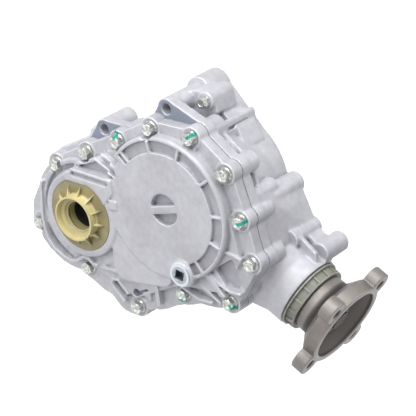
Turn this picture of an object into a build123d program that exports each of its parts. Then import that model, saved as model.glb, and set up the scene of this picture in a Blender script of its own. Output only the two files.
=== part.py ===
from build123d import *
from math import acos, atan, atan2, cos, degrees, hypot, pi, radians, sin, tan
import os

# Power transfer unit: an input gear drives a gear beside it, whose shaft carries a ring gear
# that turns an output pinion at a right angle. Millimetres. X runs along the output pinion,
# -Y leaves the cover, +Z is up. The origin lies on the input axis, in the transmission face.
# Depths are heights above the transmission face, measured towards the cover, along -Y.

os.makedirs("parts", exist_ok=True)

# Running and seating clearances
seat_gap = 0.02
run_gap = 0.05
thread_gap = 0.03
loose_gap = 0.4
race_relief = 0.8

# Depths of the case, from the transmission face to the cover
case_depth = 81.0
seal_bead = 0.6
rim_thickness = 12.0
bulge_rise = 12.0
case_flange = 12.0
parting = case_depth + seal_bead
rim_top = parting + rim_thickness
bulge_top = rim_top + bulge_rise

# Cylindrical gear pair
gear_module = 2.5
input_teeth = 36
driven_teeth = 54
pressure_angle = 20.0
helix_angle = 18.0
gear_width = 15.0
gear_backlash = 0.30
gear_clearance = 1.0
input_pitch_radius = gear_module * input_teeth / 2
driven_pitch_radius = gear_module * driven_teeth / 2
input_tip_radius = input_pitch_radius + gear_module
driven_tip_radius = driven_pitch_radius + gear_module
centre_distance = input_pitch_radius + driven_pitch_radius
shaft_line_angle = 44.0
transfer_x = centre_distance * cos(radians(shaft_line_angle))
transfer_z = centre_distance * sin(radians(shaft_line_angle))
gear_base = 71.0
gear_top = gear_base + gear_width

# Ring gear and output pinion
ring_teeth = 35
pinion_teeth = 14
hypoid_offset = 24.0
pinion_depth = 35.0
pinion_toe = 34.0
pinion_heel = 50.0
bevel_backlash = 0.38
ring_back = 5.0
ring_web_top = 12.0
pinion_z = transfer_z - hypoid_offset

# Shafts
input_shaft_radius = 20.0
input_bore_radius = 16.0
transfer_front_radius = 12.5
transfer_rear_radius = 12.5
transfer_barrel_radius = 21.0
pinion_inner_radius = 15.0
pinion_outer_radius = 13.5

# Bearings: outer radius and width
input_bearing_radius = 34.0
input_bearing_width = 13.0
front_bearing_radius = 25.0
front_bearing_width = 9.0
rear_bearing_radius = 22.0
rear_bearing_width = 11.0
inner_bearing_radius = 28.0
inner_bearing_width = 17.0
outer_bearing_radius = 26.0
outer_bearing_width = 16.0

# Case walls and screws
cavity_wall = 4.0
screw_radius = 4.0
tap_radius = 3.4
screw_boss_radius = 11.0
spot_face_radius = 9.0
screw_grip = 18.0
input_cavity_radius = input_tip_radius + gear_clearance
driven_cavity_radius = driven_tip_radius + gear_clearance
input_screw_circle = input_cavity_radius + cavity_wall + tap_radius
driven_screw_circle = driven_cavity_radius + cavity_wall + tap_radius

# Cover screws: angle about the shaft and distance outside its tightest screw circle
driven_screws = [
    (166.6, 3.4),
    (132.0, 0.0),
    (96.5, 3.6),
    (63.2, 5.2),
    (30.7, 5.1),
    (6.4, 23.2),
    (-24.1, 30.1),
    (-55.9, 12.7),
]
input_screws = [
    (-29.1, 51.0),
    (-65.8, 6.4),
    (-129.5, 14.0),
    (157.8, 0.6),
    (113.8, 8.6),
]

# Output end
snout_end = 141.0
snout_radius = 37.5
snout_root_radius = 46.0
snout_root_start = 60.0
snout_root_end = 92.0
snout_neck_start = 122.0
flange_face = 191.0
flange_pitch_circle = 100.0
flange_hole_radius = 5.1
flange_ear_radius = 12.5
flange_ear_thickness = 15.0
flange_ear_setback = 1.0
flange_rim_radius = 44.5
flange_cup_radius = 38.5
flange_cup_depth = 24.0
flange_pilot_depth = 4.0
flange_hub_radius = 30.5
dust_ring_length = 12.0


# Shared heights inside the case
case_floor = gear_base - 2.0
cover_ceiling = gear_top + 2.0
input_front_base = gear_top + 0.5
input_front_width = 10.5
input_rear_base = 4.0
input_rear_top = input_rear_base + input_bearing_width
dome_back = 0.0
dome_floor = 3.5
dome_radius = 74.0
dome_edge = 7.0
rear_boss_radius = 45.0
rear_boss_back = -7.0
rear_boss_floor = 0.0
rear_boss_room = 40.0
input_body_radius = 58.0
mount_flange = 12.0
spigot_radius = 42.0
spigot_length = 9.0
ring_groove = 2.4
ring_groove_width = 3.2
ring_groove_depth = -5.0
spigot_ring_section = 1.15
lip_gap = 0.3
input_seal_radius = 29.0
input_seal_width = 8.0
ring_room_radius = 58.0
ring_room_mouth = 66.0
front_seat_base = cover_ceiling
front_seat_top = front_seat_base + front_bearing_width
rear_seat_base = rear_boss_floor - 4.0
rear_seat_top = rear_seat_base + rear_bearing_width

# Distances along the output axis, from the transfer axis
inner_bearing_start = 58.0
inner_bearing_end = inner_bearing_start + inner_bearing_width
outer_bearing_start = 101.0
outer_bearing_end = outer_bearing_start + outer_bearing_width
output_seal_radius = 27.5
output_seal_start = outer_bearing_end + 6.0
output_seal_width = 9.0
output_seal_end = output_seal_start + output_seal_width

# Long screws through the case into the transmission, and the bracket lugs
long_lug = (transfer_x - 52.0, transfer_z + 77.0)
short_lug = (transfer_x - 105.6, transfer_z + 5.9)
lug_radius = 10.5
lug_hole_radius = 5.5
short_lug_end = 41.0
long_lug_foot = 15.5
long_lug_foot_top = 31.0
lug_pocket = [(-12.0, 84.0), (-2.0, 82.0)]
lug_pocket_radius = 5.0
mount_screw_circle = 60.0
mount_screw_angles = [-16.0, 104.0, 224.0]

# Bracket lugs along the snout: place from the transfer axis, far end and near end
side_lugs = [
    ((66.0, 45.0), 1.0, 46.0),
    ((102.0, 17.0), 1.0, 42.0),
    ((130.0, 15.0), -9.0, 26.0),
]
side_lug_hole_radius = 4.2
side_lug_hole_depth = 22.0
side_web_radius = 6.0
side_web_base = 4.0
side_web_top = 24.0
side_rib_width = 9.0

# Dowel pins: angle about the transfer axis and distance outside the gear room
dowel_radius = 3.0
dowel_places = [(149.0, 8.5), (-86.0, 10.0)]
dowel_hole_depth = 8.0
dowel_rise = 6.0
dowel_room = 6.5

# Vent plug on a boss beside the long lug, and drain plug under the input body
vent_angle = 108.4
vent_reach = 98.0
vent_seat = 54.0
vent_boss_radius = 9.0
vent_boss_base = 20.0
vent_passage_depth = 38.0
vent_passage_radius = 2.5
breather_thread = 4.0
breather_head = 8.0
breather_rise = 8.0
drain_angle = -96.0
drain_depth = 38.0
drain_seat = input_body_radius + 2.0
drain_thread = 7.0
drain_head = 9.0
drain_rise = 5.0
plug_thread_length = 12.0

# Outside of the case: skirt between flange and dome, bosses behind the cover screws, the rib
# that ties them, and the gusset along the snout
flange_back = case_depth - case_flange
column_screws = [2, 3, 4, 5]
column_base = 54.0
column_radius = 10.3
column_tie_radius = 4.0
column_tie_base = 57.0
column_tie_top = 61.0
skirt_base = 24.0
skirt_foot = dome_radius - 0.5
skirt_radius = 82.0
block_place = (60.0, 52.0)
block_radius = 9.0
block_base = 38.0
block_top = 62.0
gusset_line = [(58.0, 16.0), (88.0, 29.0), (131.0, 22.0), (138.0, 12.0), (138.0, 4.0), (58.0, 4.0)]
gusset_width = 5.0
fin_base = short_lug_end + 18.0
fin_width = 10.0
fin_line = [(-124.0, -32.0), (-127.0, -14.0), (-119.0, -9.0), (-100.0, -8.0), (-104.0, -30.0)]

# Cover
input_boss_radius = 57.0
input_boss_rise = 6.0
ridge_outer = 45.0
ridge_rise = 13.0
dish_radius = 37.0
dish_flat = 34.4
dish_flat_angle = 116.6
input_front_top = input_front_base + input_front_width
axle_seal_radius = 30.0
axle_seal_width = 6.0
seal_shoulder = 1.2
recess_floor = input_front_top + seal_shoulder + axle_seal_width
lip_channel = (46.5, 51.5)
lip_channel_span = (128.0, 268.0)
apron_margin = 15.0
apron_rise = 4.5
apron_draft = 20.0
boss_lift = 1.2
bulge_radius = 73.5
bulge_edge = 3.0
groove_outer = 69.5
groove_inner = 57.5
groove_depth = 4.0
groove_span = (-34.0, 168.0)
groove_webs = [164.0, 132.0, 100.0, 66.0, 34.0, 6.0, -25.0]
groove_web_width = 3.0
window_radius = 16.0
window_depth = 7.0
window_bar = 8.0
window_turn = 43.0
tongue_fall = 1.4
tongue_corners = [((-51.0, -27.0), 15.0), ((-14.0, -93.0), 17.0), ((22.0, -68.0), 17.0)]
fill_point = (transfer_x + 45.5, transfer_z - 46.0)
fill_boss_radius = 14.0
fill_seat = bulge_top + 1.5
fill_thread_radius = 9.0

# Plateau beside the axle recess and the slot in it, as corners from the transfer axis
plateau_corners = [(-113.0, -51.0), (-108.0, -40.0), (-66.0, -20.0), (-60.0, -28.0), (-64.0, -44.0)]
plateau_radius = 3.0
plateau_top = bulge_top + 2.0
slot_ends = [(-106.0, -42.0), (-68.0, -24.0)]
slot_radius = 2.4
slot_floor = rim_top + 5.0

# Cast pockets: corners from the transfer axis, corner radius, floor below the rim top
cover_pockets = [
    ([(-89.0, -10.5), (-67.0, -4.5), (-63.0, -9.0)], 1.5, 1.5),
    ([(-84.0, 1.0), (-74.0, 8.5), (-67.0, 8.0), (-68.0, 1.0)], 1.5, 1.5),
    ([(-104.0, -33.0), (-90.0, -18.5), (-65.0, -13.5)], 1.5, 1.0),
    ([(75.0, -19.0), (94.0, -27.0), (99.0, -17.0), (83.0, -2.0)], 3.5, 1.0),
    ([(54.0, -65.0), (78.0, -57.5), (64.0, -67.0)], 1.5, 1.0),
    ([(-18.0, -122.0), (-4.0, -126.0)], 4.0, 1.5),
    ([(9.0, -112.0), (15.0, -104.0), (22.0, -112.0)], 2.0, 1.5),
    ([(5.5, -115.5)], 4.5, 3.0),
]

# Cast ribs: two ends from the transfer axis, width, rise above the rim top
cover_ribs = [
    ((-108.0, -33.0), (-93.0, -15.0), 4.0, 8.0),
    ((-92.0, -13.5), (-62.0, -12.0), 3.5, 8.0),
    ((-87.0, -3.5), (-66.0, -1.5), 3.5, 8.0),
    ((-77.0, 12.0), (-66.0, 12.5), 3.5, 7.0),
    ((60.0, -30.0), (93.0, -39.0), 5.0, 8.5),
    ((62.0, -50.0), (92.0, -50.0), 3.0, 5.5),
    ((24.0, -90.0), (33.0, -104.0), 4.5, 7.5),
    ((-20.0, -108.0), (-48.0, -124.0), 4.0, 7.0),
    ((76.0, 6.0), (90.0, 10.0), 4.0, 7.0),
    ((-60.0, -60.0), (-46.0, -64.0), 4.0, 8.0),
]

# Hexagon-head screws of the cover
screw_head = 12.0
screw_head_rise = 5.5
screw_flange = 7.8
screw_flange_rise = 1.8

# Input shaft
shaft_rear_end = -32.0
spline_root = 17.9
spline_tip = 19.0
spline_end = -12.0
input_seal_journal = 19.4
gear_seat_radius = 23.0
shoulder_radius = 27.0
input_shoulder_base = 34.0
input_shaft_front = input_front_top - 0.5

# Driven gear
driven_rim = 10.0
driven_hub_radius = 31.0
driven_web = 7.0
driven_seat_radius = 21.0
lightening_holes = 6
lightening_radius = 9.0

# Transfer shaft
shaft_flange_radius = 37.5
shaft_flange_top = 18.0
ring_bore = 27.0
ring_screws = 8
ring_screw_circle = 32.0
ring_screw_radius = 3.5
ring_screw_head = 5.6
ring_screw_head_rise = 3.6
transfer_shoulder = 24.0
pilot_base = rear_seat_top + 1.0

# Output flange, nut and dust ring
pinion_spline_radius = 12.5
pinion_thread_radius = 10.0
hub_seal_radius = 17.5
dust_start = snout_end + 0.6
dust_end = dust_start + dust_ring_length
nut_seat = flange_face - flange_cup_depth
washer_thickness = 3.0
nut_thickness = 11.0
nut_radius = 17.0
pinion_end = nut_seat + washer_thickness + nut_thickness + 3.0

dust_seat_radius = 24.0
dust_radius = 36.0
dust_lip_radius = dust_radius + 0.6
dust_lip_width = 2.2
dust_rim_width = 1.6
dust_windows = 16
dust_window_height = 4.0
dust_window_width = 1.6

# Seal protector in the axle opening
protector_front = bulge_top + 11.5
protector_bore = 15.0
protector_sleeve = axle_seal_radius - 11.0
protector_ring = 23.3
protector_ribs = 12
protector_web_reach = 32.5
dish_edge = 2.2

# Plugs and small parts
plug_head = 11.5
plug_head_rise = 3.0
plug_square = 10.0
plug_square_depth = 7.0
plug_square_turn = 15.0
plug_seat_rise = 1.0

# Bearings: bore radius, outer radius, width, lean of the rollers, number of rollers
input_front_sizes = (input_shaft_radius, input_bearing_radius, input_front_width, -9.0, 14)
input_rear_sizes = (input_shaft_radius, input_bearing_radius, input_bearing_width, 9.0, 14)
transfer_front_sizes = (transfer_front_radius, front_bearing_radius, front_bearing_width, -12.0, 10)
transfer_rear_sizes = (transfer_rear_radius, rear_bearing_radius, rear_bearing_width, 12.0, 10)
pinion_inner_sizes = (pinion_inner_radius, inner_bearing_radius, inner_bearing_width, -14.0, 11)
pinion_outer_sizes = (pinion_outer_radius, outer_bearing_radius, outer_bearing_width, 14.0, 11)


def at(depth):
    # Sketch plane parallel to the transmission face, at a depth towards the cover.
    return Plane.XZ.offset(depth)


def across(distance):
    # Sketch plane square to the output axis, at a distance from the transfer axis.
    return Plane.YZ.offset(transfer_x + distance)


def driven_point(angle, radius):
    x = transfer_x + radius * cos(radians(angle))
    z = transfer_z + radius * sin(radians(angle))
    return (x, z)


def input_point(angle, radius):
    return (radius * cos(radians(angle)), radius * sin(radians(angle)))


transfer = (transfer_x, transfer_z)
pinion_line = (-pinion_depth, pinion_z)
driven_screw_points = [driven_point(a, driven_screw_circle + s) for a, s in driven_screws]
input_screw_points = [input_point(a, input_screw_circle + s) for a, s in input_screws]
screw_points = driven_screw_points + input_screw_points
transfer_axis = Axis((transfer_x, 0, transfer_z), (0, 1, 0))
input_axis = Axis((0, 0, 0), (0, 1, 0))
pinion_axis = Axis((0, -pinion_depth, pinion_z), (1, 0, 0))


def tooth_points(centre, teeth, module, backlash, turn):
    # Outline of an involute gear: each flank is a short chain of points on the involute.
    pitch = module * teeth / 2
    base = pitch * cos(radians(pressure_angle))
    tip = pitch + module
    root = pitch - 1.25 * module
    inv_pitch = tan(radians(pressure_angle)) - radians(pressure_angle)
    half_pitch = pi / (2 * teeth) - backlash / (2 * pitch)
    start = max(base, root)
    steps = 4
    flank = []
    for i in range(steps):
        radius = start + (tip - start) * i / (steps - 1)
        angle = acos(min(1.0, base / radius))
        flank.append((radius, half_pitch + inv_pitch - (tan(angle) - angle)))
    if root < base:
        flank.insert(0, (root, flank[0][1]))
    points = []
    for tooth in range(teeth):
        middle = 2 * pi * tooth / teeth + turn
        for radius, half in flank:
            points.append((radius * cos(middle - half), radius * sin(middle - half)))
        for radius, half in reversed(flank):
            points.append((radius * cos(middle + half), radius * sin(middle + half)))
    return [(centre[0] + x, centre[1] + z) for x, z in points]


def helical_rim(centre, teeth, turn, hand):
    # A toothed blank whose section turns with depth, as a helix does.
    pitch = gear_module * teeth / 2
    twist = hand * gear_width * tan(radians(helix_angle)) / pitch
    with BuildPart() as rim:
        for depth, share in ((gear_base, -0.5), (gear_top, 0.5)):
            points = tooth_points(centre, teeth, gear_module, gear_backlash, turn + twist * share)
            with BuildSketch(at(depth)):
                with BuildLine():
                    Polyline(*points, close=True)
                make_face()
        loft(ruled=True)
    return rim.part


def disc(centre, radius, base, top):
    # A plain round body between two depths.
    with BuildPart() as body:
        with BuildSketch(at(base)):
            with Locations(centre):
                Circle(radius)
        extrude(amount=top - base)
    return body.part


def rounded_disc(centre, radius, base, top, edge):
    # A round body whose far face, at the second depth, has a rounded edge.
    with BuildPart() as body:
        with BuildSketch(at(base)):
            with Locations(centre):
                Circle(radius)
        extrude(amount=top - base)
        far = Axis((0, 0, 0), (0, base - top, 0))
        fillet(body.faces().sort_by(far)[-1].edges(), edge)
    return body.part


def turned(centre, profile):
    # A body turned about an axis square to the transmission face, from (radius, depth) points.
    x, z = centre
    with BuildPart() as body:
        with BuildSketch(Plane.XY.offset(z)):
            with BuildLine():
                Polyline(*[(x + r, -depth) for r, depth in profile], close=True)
            make_face()
        revolve(axis=Axis((x, 0, z), (0, 1, 0)))
    return body.part


def turned_output(profile):
    # A body turned about the output axis, from (distance along the axis, radius) points.
    with BuildPart() as body:
        with BuildSketch(Plane.XY.offset(pinion_z)):
            with BuildLine():
                points = [(transfer_x + along, r - pinion_depth) for along, r in profile]
                Polyline(*points, close=True)
            make_face()
        revolve(axis=pinion_axis)
    return body.part


def outline_sketch(inset, boss):
    # Outline shared by the case flange, the sealant bead and the cover rim.
    with BuildSketch(Plane.XY) as driven_side:
        with Locations(*driven_screw_points):
            Circle(boss - inset)
        with Locations(transfer):
            Circle(driven_cavity_radius + cavity_wall)
        make_hull()
    with BuildSketch(Plane.XY) as input_side:
        with Locations(*input_screw_points, driven_screw_points[0], driven_screw_points[-1]):
            Circle(boss - inset)
        with Locations((-2.0, -8.0)):
            Circle(input_cavity_radius + cavity_wall + 14.0 - inset)
        make_hull()
    with BuildSketch(Plane.XY) as outline:
        add(driven_side.sketch)
        add(input_side.sketch)
        with Locations(*screw_points):
            Circle(boss)
    return outline.sketch


def cavity_sketch():
    # Room for the two gears in mesh.
    with BuildSketch(Plane.XY) as cavity:
        with Locations((0, 0)):
            Circle(input_cavity_radius)
        with Locations(transfer):
            Circle(driven_cavity_radius)
    return cavity.sketch


def lifted(sketch, base, top):
    # A sketch drawn in the transmission plane, raised between two depths.
    with BuildPart() as body:
        with BuildSketch(at(base)):
            add(sketch)
        extrude(amount=top - base)
    return body.part


def screw_holes(points, radius, base, top):
    with BuildPart() as holes:
        with BuildSketch(at(base)):
            with Locations(*points):
                Circle(radius)
        extrude(amount=top - base)
    return holes.part


# Outline of the joint between case and cover, and the room inside it
rim_inset = 4.0
rim_outline = outline_sketch(rim_inset, screw_boss_radius)
gear_cavity = cavity_sketch()


def outward(point, angle, depth):
    # Plane square to a radius of the body that it stands on.
    return Plane(
        origin=(point[0], -depth, point[1]),
        x_dir=(0, 1, 0),
        z_dir=(cos(radians(angle)), 0, sin(radians(angle))),
    )


vent_point = driven_point(vent_angle, vent_reach)
vent_passage_plane = outward(vent_point, vent_angle, vent_passage_depth)
breather_plane = Plane(
    origin=(vent_point[0], -vent_seat, vent_point[1]),
    x_dir=(1, 0, 0),
    z_dir=(0, -1, 0),
)
drain_plane = outward(input_point(drain_angle, drain_seat), drain_angle, drain_depth)


def column(plane, radius, length):
    # A round body that runs inwards from a plane.
    with BuildPart() as body:
        with BuildSketch(plane):
            Circle(radius)
        extrude(amount=-length)
    return body.part


def hex_plug(plane, head, rise, thread):
    with BuildPart() as plug:
        with BuildSketch(plane):
            RegularPolygon(head, 6)
        extrude(amount=rise)
        with BuildSketch(plane):
            Circle(thread - thread_gap)
        extrude(amount=-plug_thread_length)
    return plug.part


dowel_points = [driven_point(angle, driven_cavity_radius + away) for angle, away in dowel_places]


def from_transfer(x, z):
    return (transfer_x + x, transfer_z + z)


def hull_body(points, radius, base, top):
    # A block with rounded corners round some points, between two depths.
    with BuildPart() as body:
        with BuildSketch(at(base)):
            with Locations(*points):
                Circle(radius)
            if len(points) > 1:
                make_hull()
        extrude(amount=top - base)
    return body.part


def rib(start, end, width, base, top):
    # A straight cast rib between two points of the transmission plane.
    length = hypot(end[0] - start[0], end[1] - start[1])
    turn = degrees(atan2(end[1] - start[1], end[0] - start[0]))
    middle = ((start[0] + end[0]) / 2, (start[1] + end[1]) / 2)
    with BuildPart() as body:
        with BuildSketch(at(base)):
            with Locations(Location((middle[0], middle[1], 0), (0, 0, turn))):
                SlotCenterToCenter(length, width)
        extrude(amount=top - base)
    return body.part


def flange_webs():
    # Parts of the case flange that stand out past the cover, towards the lugs.
    long_side = [driven_screw_points[1], driven_screw_points[2], long_lug]
    short_side = [input_screw_points[-1], driven_screw_points[0], short_lug]
    corner = [input_screw_points[-2], input_screw_points[-1]]
    return [
        hull_body(long_side, screw_boss_radius - 1.0, flange_back, case_depth),
        hull_body(short_side, screw_boss_radius - 1.0, flange_back, case_depth),
        hull_body(corner, screw_boss_radius + 1.5, flange_back, case_depth),
    ]


def lug_block():
    # Web that ties the long lug to the dome, with the vent boss and two cast pockets.
    with BuildPart() as block:
        with BuildSketch(at(dome_back)):
            with Locations(long_lug):
                Circle(long_lug_foot - 2.0)
            with Locations(transfer):
                Circle(dome_radius - 4.0)
            make_hull()
        extrude(amount=long_lug_foot_top)
        foot = [long_lug, vent_point, driven_point(100.0, dome_radius)]
        add(hull_body(foot, vent_boss_radius, vent_boss_base, vent_seat - 3.0))
        add(hull_body([vent_point], vent_boss_radius, vent_boss_base, vent_seat))
        # Two ribs that brace the lug against the dome.
        wide_end = driven_point(112.0, dome_radius - 8.0)
        add(rib(long_lug, wide_end, 9.0, vent_boss_base, flange_back))
        start = driven_point(92.0, dome_radius + 12.0)
        end = driven_point(80.0, dome_radius - 6.0)
        add(rib(start, end, 7.0, vent_boss_base / 2, flange_back))
        ends = [from_transfer(*end) for end in lug_pocket]
        pocket = hull_body(ends, lug_pocket_radius, vent_boss_base + 2.0, flange_back + 1.0)
        add(pocket, mode=Mode.SUBTRACT)
    return block.part


def snout_body():
    # The tapered neck round the output bearings, cut off square with the case faces.
    snout = turned_output(
        [
            (0.0, 0.0),
            (0.0, snout_root_radius - 8.0),
            (snout_root_start, snout_root_radius),
            (snout_root_end, snout_root_radius),
            (snout_neck_start, snout_radius),
            (snout_end, snout_radius),
            (snout_end, 0.0),
        ]
    )
    with BuildPart() as band:
        with BuildSketch(at(pinion_depth - snout_root_radius)):
            with Locations((transfer_x + snout_end / 2 + 20.0, pinion_z)):
                Rectangle(snout_end + 60.0, 3 * snout_root_radius)
        extrude(amount=flange_back - pinion_depth + snout_root_radius + 6.0)
    return snout & band.part


def housing_rooms():
    # The space inside the case: gears, bearings, seals and the pinion bore.
    gears = lifted(gear_cavity, case_floor, case_depth)
    transfer_room = turned(
        transfer,
        [
            (0.0, rear_seat_base - race_relief),
            (rear_bearing_radius - 4.0, rear_seat_base - race_relief),
            (rear_bearing_radius - 4.0, rear_seat_base),
            (rear_bearing_radius, rear_seat_base),
            (rear_bearing_radius, rear_seat_top),
            (rear_bearing_radius + 3.0, rear_seat_top),
            (rear_bearing_radius + 3.0, rear_boss_floor),
            (rear_boss_room, rear_boss_floor),
            (rear_boss_room, dome_floor),
            (ring_room_radius, dome_floor),
            (ring_room_radius, skirt_base),
            (ring_room_mouth, case_floor + 1.0),
            (0.0, case_floor + 1.0),
        ],
    )
    input_room = turned(
        (0.0, 0.0),
        [
            (0.0, -spigot_length - 1.0),
            (input_seal_radius, -spigot_length - 1.0),
            (input_seal_radius, input_seal_width - spigot_length),
            (input_seal_radius - 2.0, input_seal_width - spigot_length),
            (input_seal_radius - 2.0, input_rear_base),
            (input_bearing_radius, input_rear_base),
            (input_bearing_radius, case_floor + 1.0),
            (0.0, case_floor + 1.0),
        ],
    )
    pinion_room = turned_output(
        [
            (20.0, 0.0),
            (20.0, inner_bearing_radius),
            (inner_bearing_end, inner_bearing_radius),
            (inner_bearing_end, inner_bearing_radius - 4.0),
            (outer_bearing_start, outer_bearing_radius - 4.0),
            (outer_bearing_start, outer_bearing_radius),
            (output_seal_start, outer_bearing_radius),
            (output_seal_start, output_seal_radius),
            (snout_end + 1.0, output_seal_radius),
            (snout_end + 1.0, 0.0),
        ]
    )
    groove_half = ring_groove_width / 2
    spigot_groove = turned(
        (0.0, 0.0),
        [
            (spigot_radius - ring_groove, ring_groove_depth - groove_half),
            (spigot_radius + 1.0, ring_groove_depth - groove_half),
            (spigot_radius + 1.0, ring_groove_depth + groove_half),
            (spigot_radius - ring_groove, ring_groove_depth + groove_half),
        ],
    )
    return [gears, transfer_room, input_room, pinion_room, spigot_groove]


def housing_holes():
    dowel_base = case_depth - dowel_hole_depth
    dowel_holes = screw_holes(dowel_points, dowel_radius + seat_gap, dowel_base, case_depth)
    cover_taps = screw_holes(screw_points, tap_radius, case_depth - screw_grip, case_depth)
    lug_holes = screw_holes([long_lug, short_lug], lug_hole_radius, -1.0, case_depth + 1.0)
    mount_points = [input_point(a, mount_screw_circle) for a in mount_screw_angles]
    mount_holes = screw_holes(mount_points, side_lug_hole_radius, -1.0, mount_flange + 1.0)
    holes = [dowel_holes, cover_taps, lug_holes, mount_holes]
    for place, far, near in side_lugs:
        top = far + side_lug_hole_depth
        holes.append(screw_holes([from_transfer(*place)], side_lug_hole_radius, far, top))
    holes.append(column(breather_plane, breather_thread, plug_thread_length + 4.0))
    holes.append(column(vent_passage_plane, vent_passage_radius, vent_reach - ring_room_radius + 4.0))
    holes.append(column(drain_plane, drain_thread, plug_thread_length + 16.0))
    return holes


def main_housing():
    with BuildPart() as housing:
        # Flange that carries the cover, and the two bodies behind it.
        with BuildSketch(at(flange_back)):
            add(rim_outline)
        extrude(amount=case_flange)
        add(flange_webs())
        with BuildSketch(at(0)):
            with Locations((0, 0)):
                Circle(input_body_radius)
        extrude(amount=flange_back)
        add(rounded_disc(transfer, dome_radius, flange_back, dome_back, dome_edge))
        add(rounded_disc(transfer, rear_boss_radius, dome_back + 5.0, rear_boss_back, 4.0))
        # Web between the bodies.
        with BuildSketch(at(0)):
            with BuildLine():
                Polyline(
                    input_point(125.0, input_body_radius),
                    driven_point(150.0, dome_radius),
                    driven_point(-62.0, dome_radius),
                    input_point(-36.0, input_body_radius),
                    close=True,
                )
            make_face()
        extrude(amount=flange_back)
        # Transmission flange with its screw lugs and spigot.
        with BuildSketch(at(0)):
            with Locations((0, 0)):
                Circle(input_body_radius + 4.0)
            with Locations(*[input_point(a, mount_screw_circle) for a in mount_screw_angles]):
                Circle(lug_radius)
        extrude(amount=mount_flange)
        with BuildSketch(at(-spigot_length)):
            Circle(spigot_radius)
        extrude(amount=spigot_length)
        # Long and short lugs beside the gears.
        add(hull_body([long_lug], lug_radius, 0.0, case_depth))
        add(hull_body([long_lug], long_lug_foot, 0.0, long_lug_foot_top))
        add(hull_body([short_lug], lug_radius, short_lug_end, case_depth))
        with BuildSketch(at(0)):
            with BuildLine():
                Polyline(
                    (long_lug[0] - 9.0, long_lug[1]),
                    (long_lug[0] + 6.0, long_lug[1] + 6.0),
                    driven_point(121.0, dome_radius - 8.0),
                    driven_point(142.0, dome_radius - 8.0),
                    close=True,
                )
            make_face()
        extrude(amount=flange_back)
        add(lug_block())
        add(snout_body())
        # Bracket lugs along the top of the snout, tied by webs.
        for place, far, near in side_lugs:
            add(hull_body([from_transfer(*place)], lug_radius, far, near))
            down = (transfer_x + place[0], pinion_z)
            add(rib(from_transfer(*place), down, side_rib_width, far + 6.0, near - 3.0))
        for first, second in zip(side_lugs, side_lugs[1:]):
            ends = [from_transfer(*first[0]), from_transfer(*second[0])]
            add(hull_body(ends, side_web_radius, side_web_base, side_web_top))
        # Skirt that widens from the dome to the flange, bosses behind the screws and their rib.
        skirt_foot_ring = [(0.0, skirt_base), (skirt_foot, skirt_base)]
        skirt_top_ring = [(skirt_radius, flange_back + 1.0), (0.0, flange_back + 1.0)]
        add(turned(transfer, skirt_foot_ring + skirt_top_ring))
        for place in screw_points:
            add(hull_body([place], column_radius, column_base, flange_back + 1.0))
        columns = [driven_screw_points[i] for i in column_screws]
        for first, second in zip(columns, columns[1:]):
            add(hull_body([first, second], column_tie_radius, column_tie_base, column_tie_top))
        add(hull_body([from_transfer(*block_place)], block_radius, block_base, block_top))
        # Fin beside the short lug, and the gusset along the snout.
        with BuildSketch(at(fin_base)):
            with BuildLine():
                Polyline(*[from_transfer(*point) for point in fin_line], close=True)
            make_face()
        extrude(amount=fin_width)
        with BuildSketch(at(pinion_depth - gusset_width / 2)):
            with BuildLine():
                Polyline(*[from_transfer(*point) for point in gusset_line], close=True)
            make_face()
        extrude(amount=gusset_width)
        add(column(drain_plane, drain_thread + 4.0, plug_thread_length))
        # Rooms, seats and holes inside.
        add(housing_rooms(), mode=Mode.SUBTRACT)
        add(housing_holes(), mode=Mode.SUBTRACT)
    return housing.part


def sector(centre, radius, first, last):
    # A pie slice sketch between two angles.
    with BuildSketch(Plane.XY) as slice_sketch:
        steps = 8
        points = [centre]
        for i in range(steps + 1):
            angle = radians(first + (last - first) * i / steps)
            reach = radius / cos(radians((last - first) / steps / 2))
            points.append((centre[0] + reach * cos(angle), centre[1] + reach * sin(angle)))
        with BuildLine():
            Polyline(*points, close=True)
        make_face()
    return slice_sketch.sketch


def ring_sector(centre, inner, outer, first, last, base, top):
    # Part of a ring between two angles and two depths.
    with BuildPart() as body:
        with BuildSketch(at(base)):
            with Locations(centre):
                Circle(outer)
                Circle(inner, mode=Mode.SUBTRACT)
            add(sector(centre, outer + 2.0, first, last), mode=Mode.INTERSECT)
        extrude(amount=top - base)
    return body.part


def flatted_disc(radius, flat, base, top):
    # A disc on the input axis with one straight side, at a distance from the axis.
    with BuildPart() as body:
        with BuildSketch(at(base)):
            Circle(radius)
            away = input_point(dish_flat_angle, flat + radius)
            with Locations(Location((away[0], away[1], 0), (0, 0, dish_flat_angle))):
                Rectangle(2 * radius, 3 * radius, mode=Mode.SUBTRACT)
        extrude(amount=top - base)
    return body.part


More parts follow.
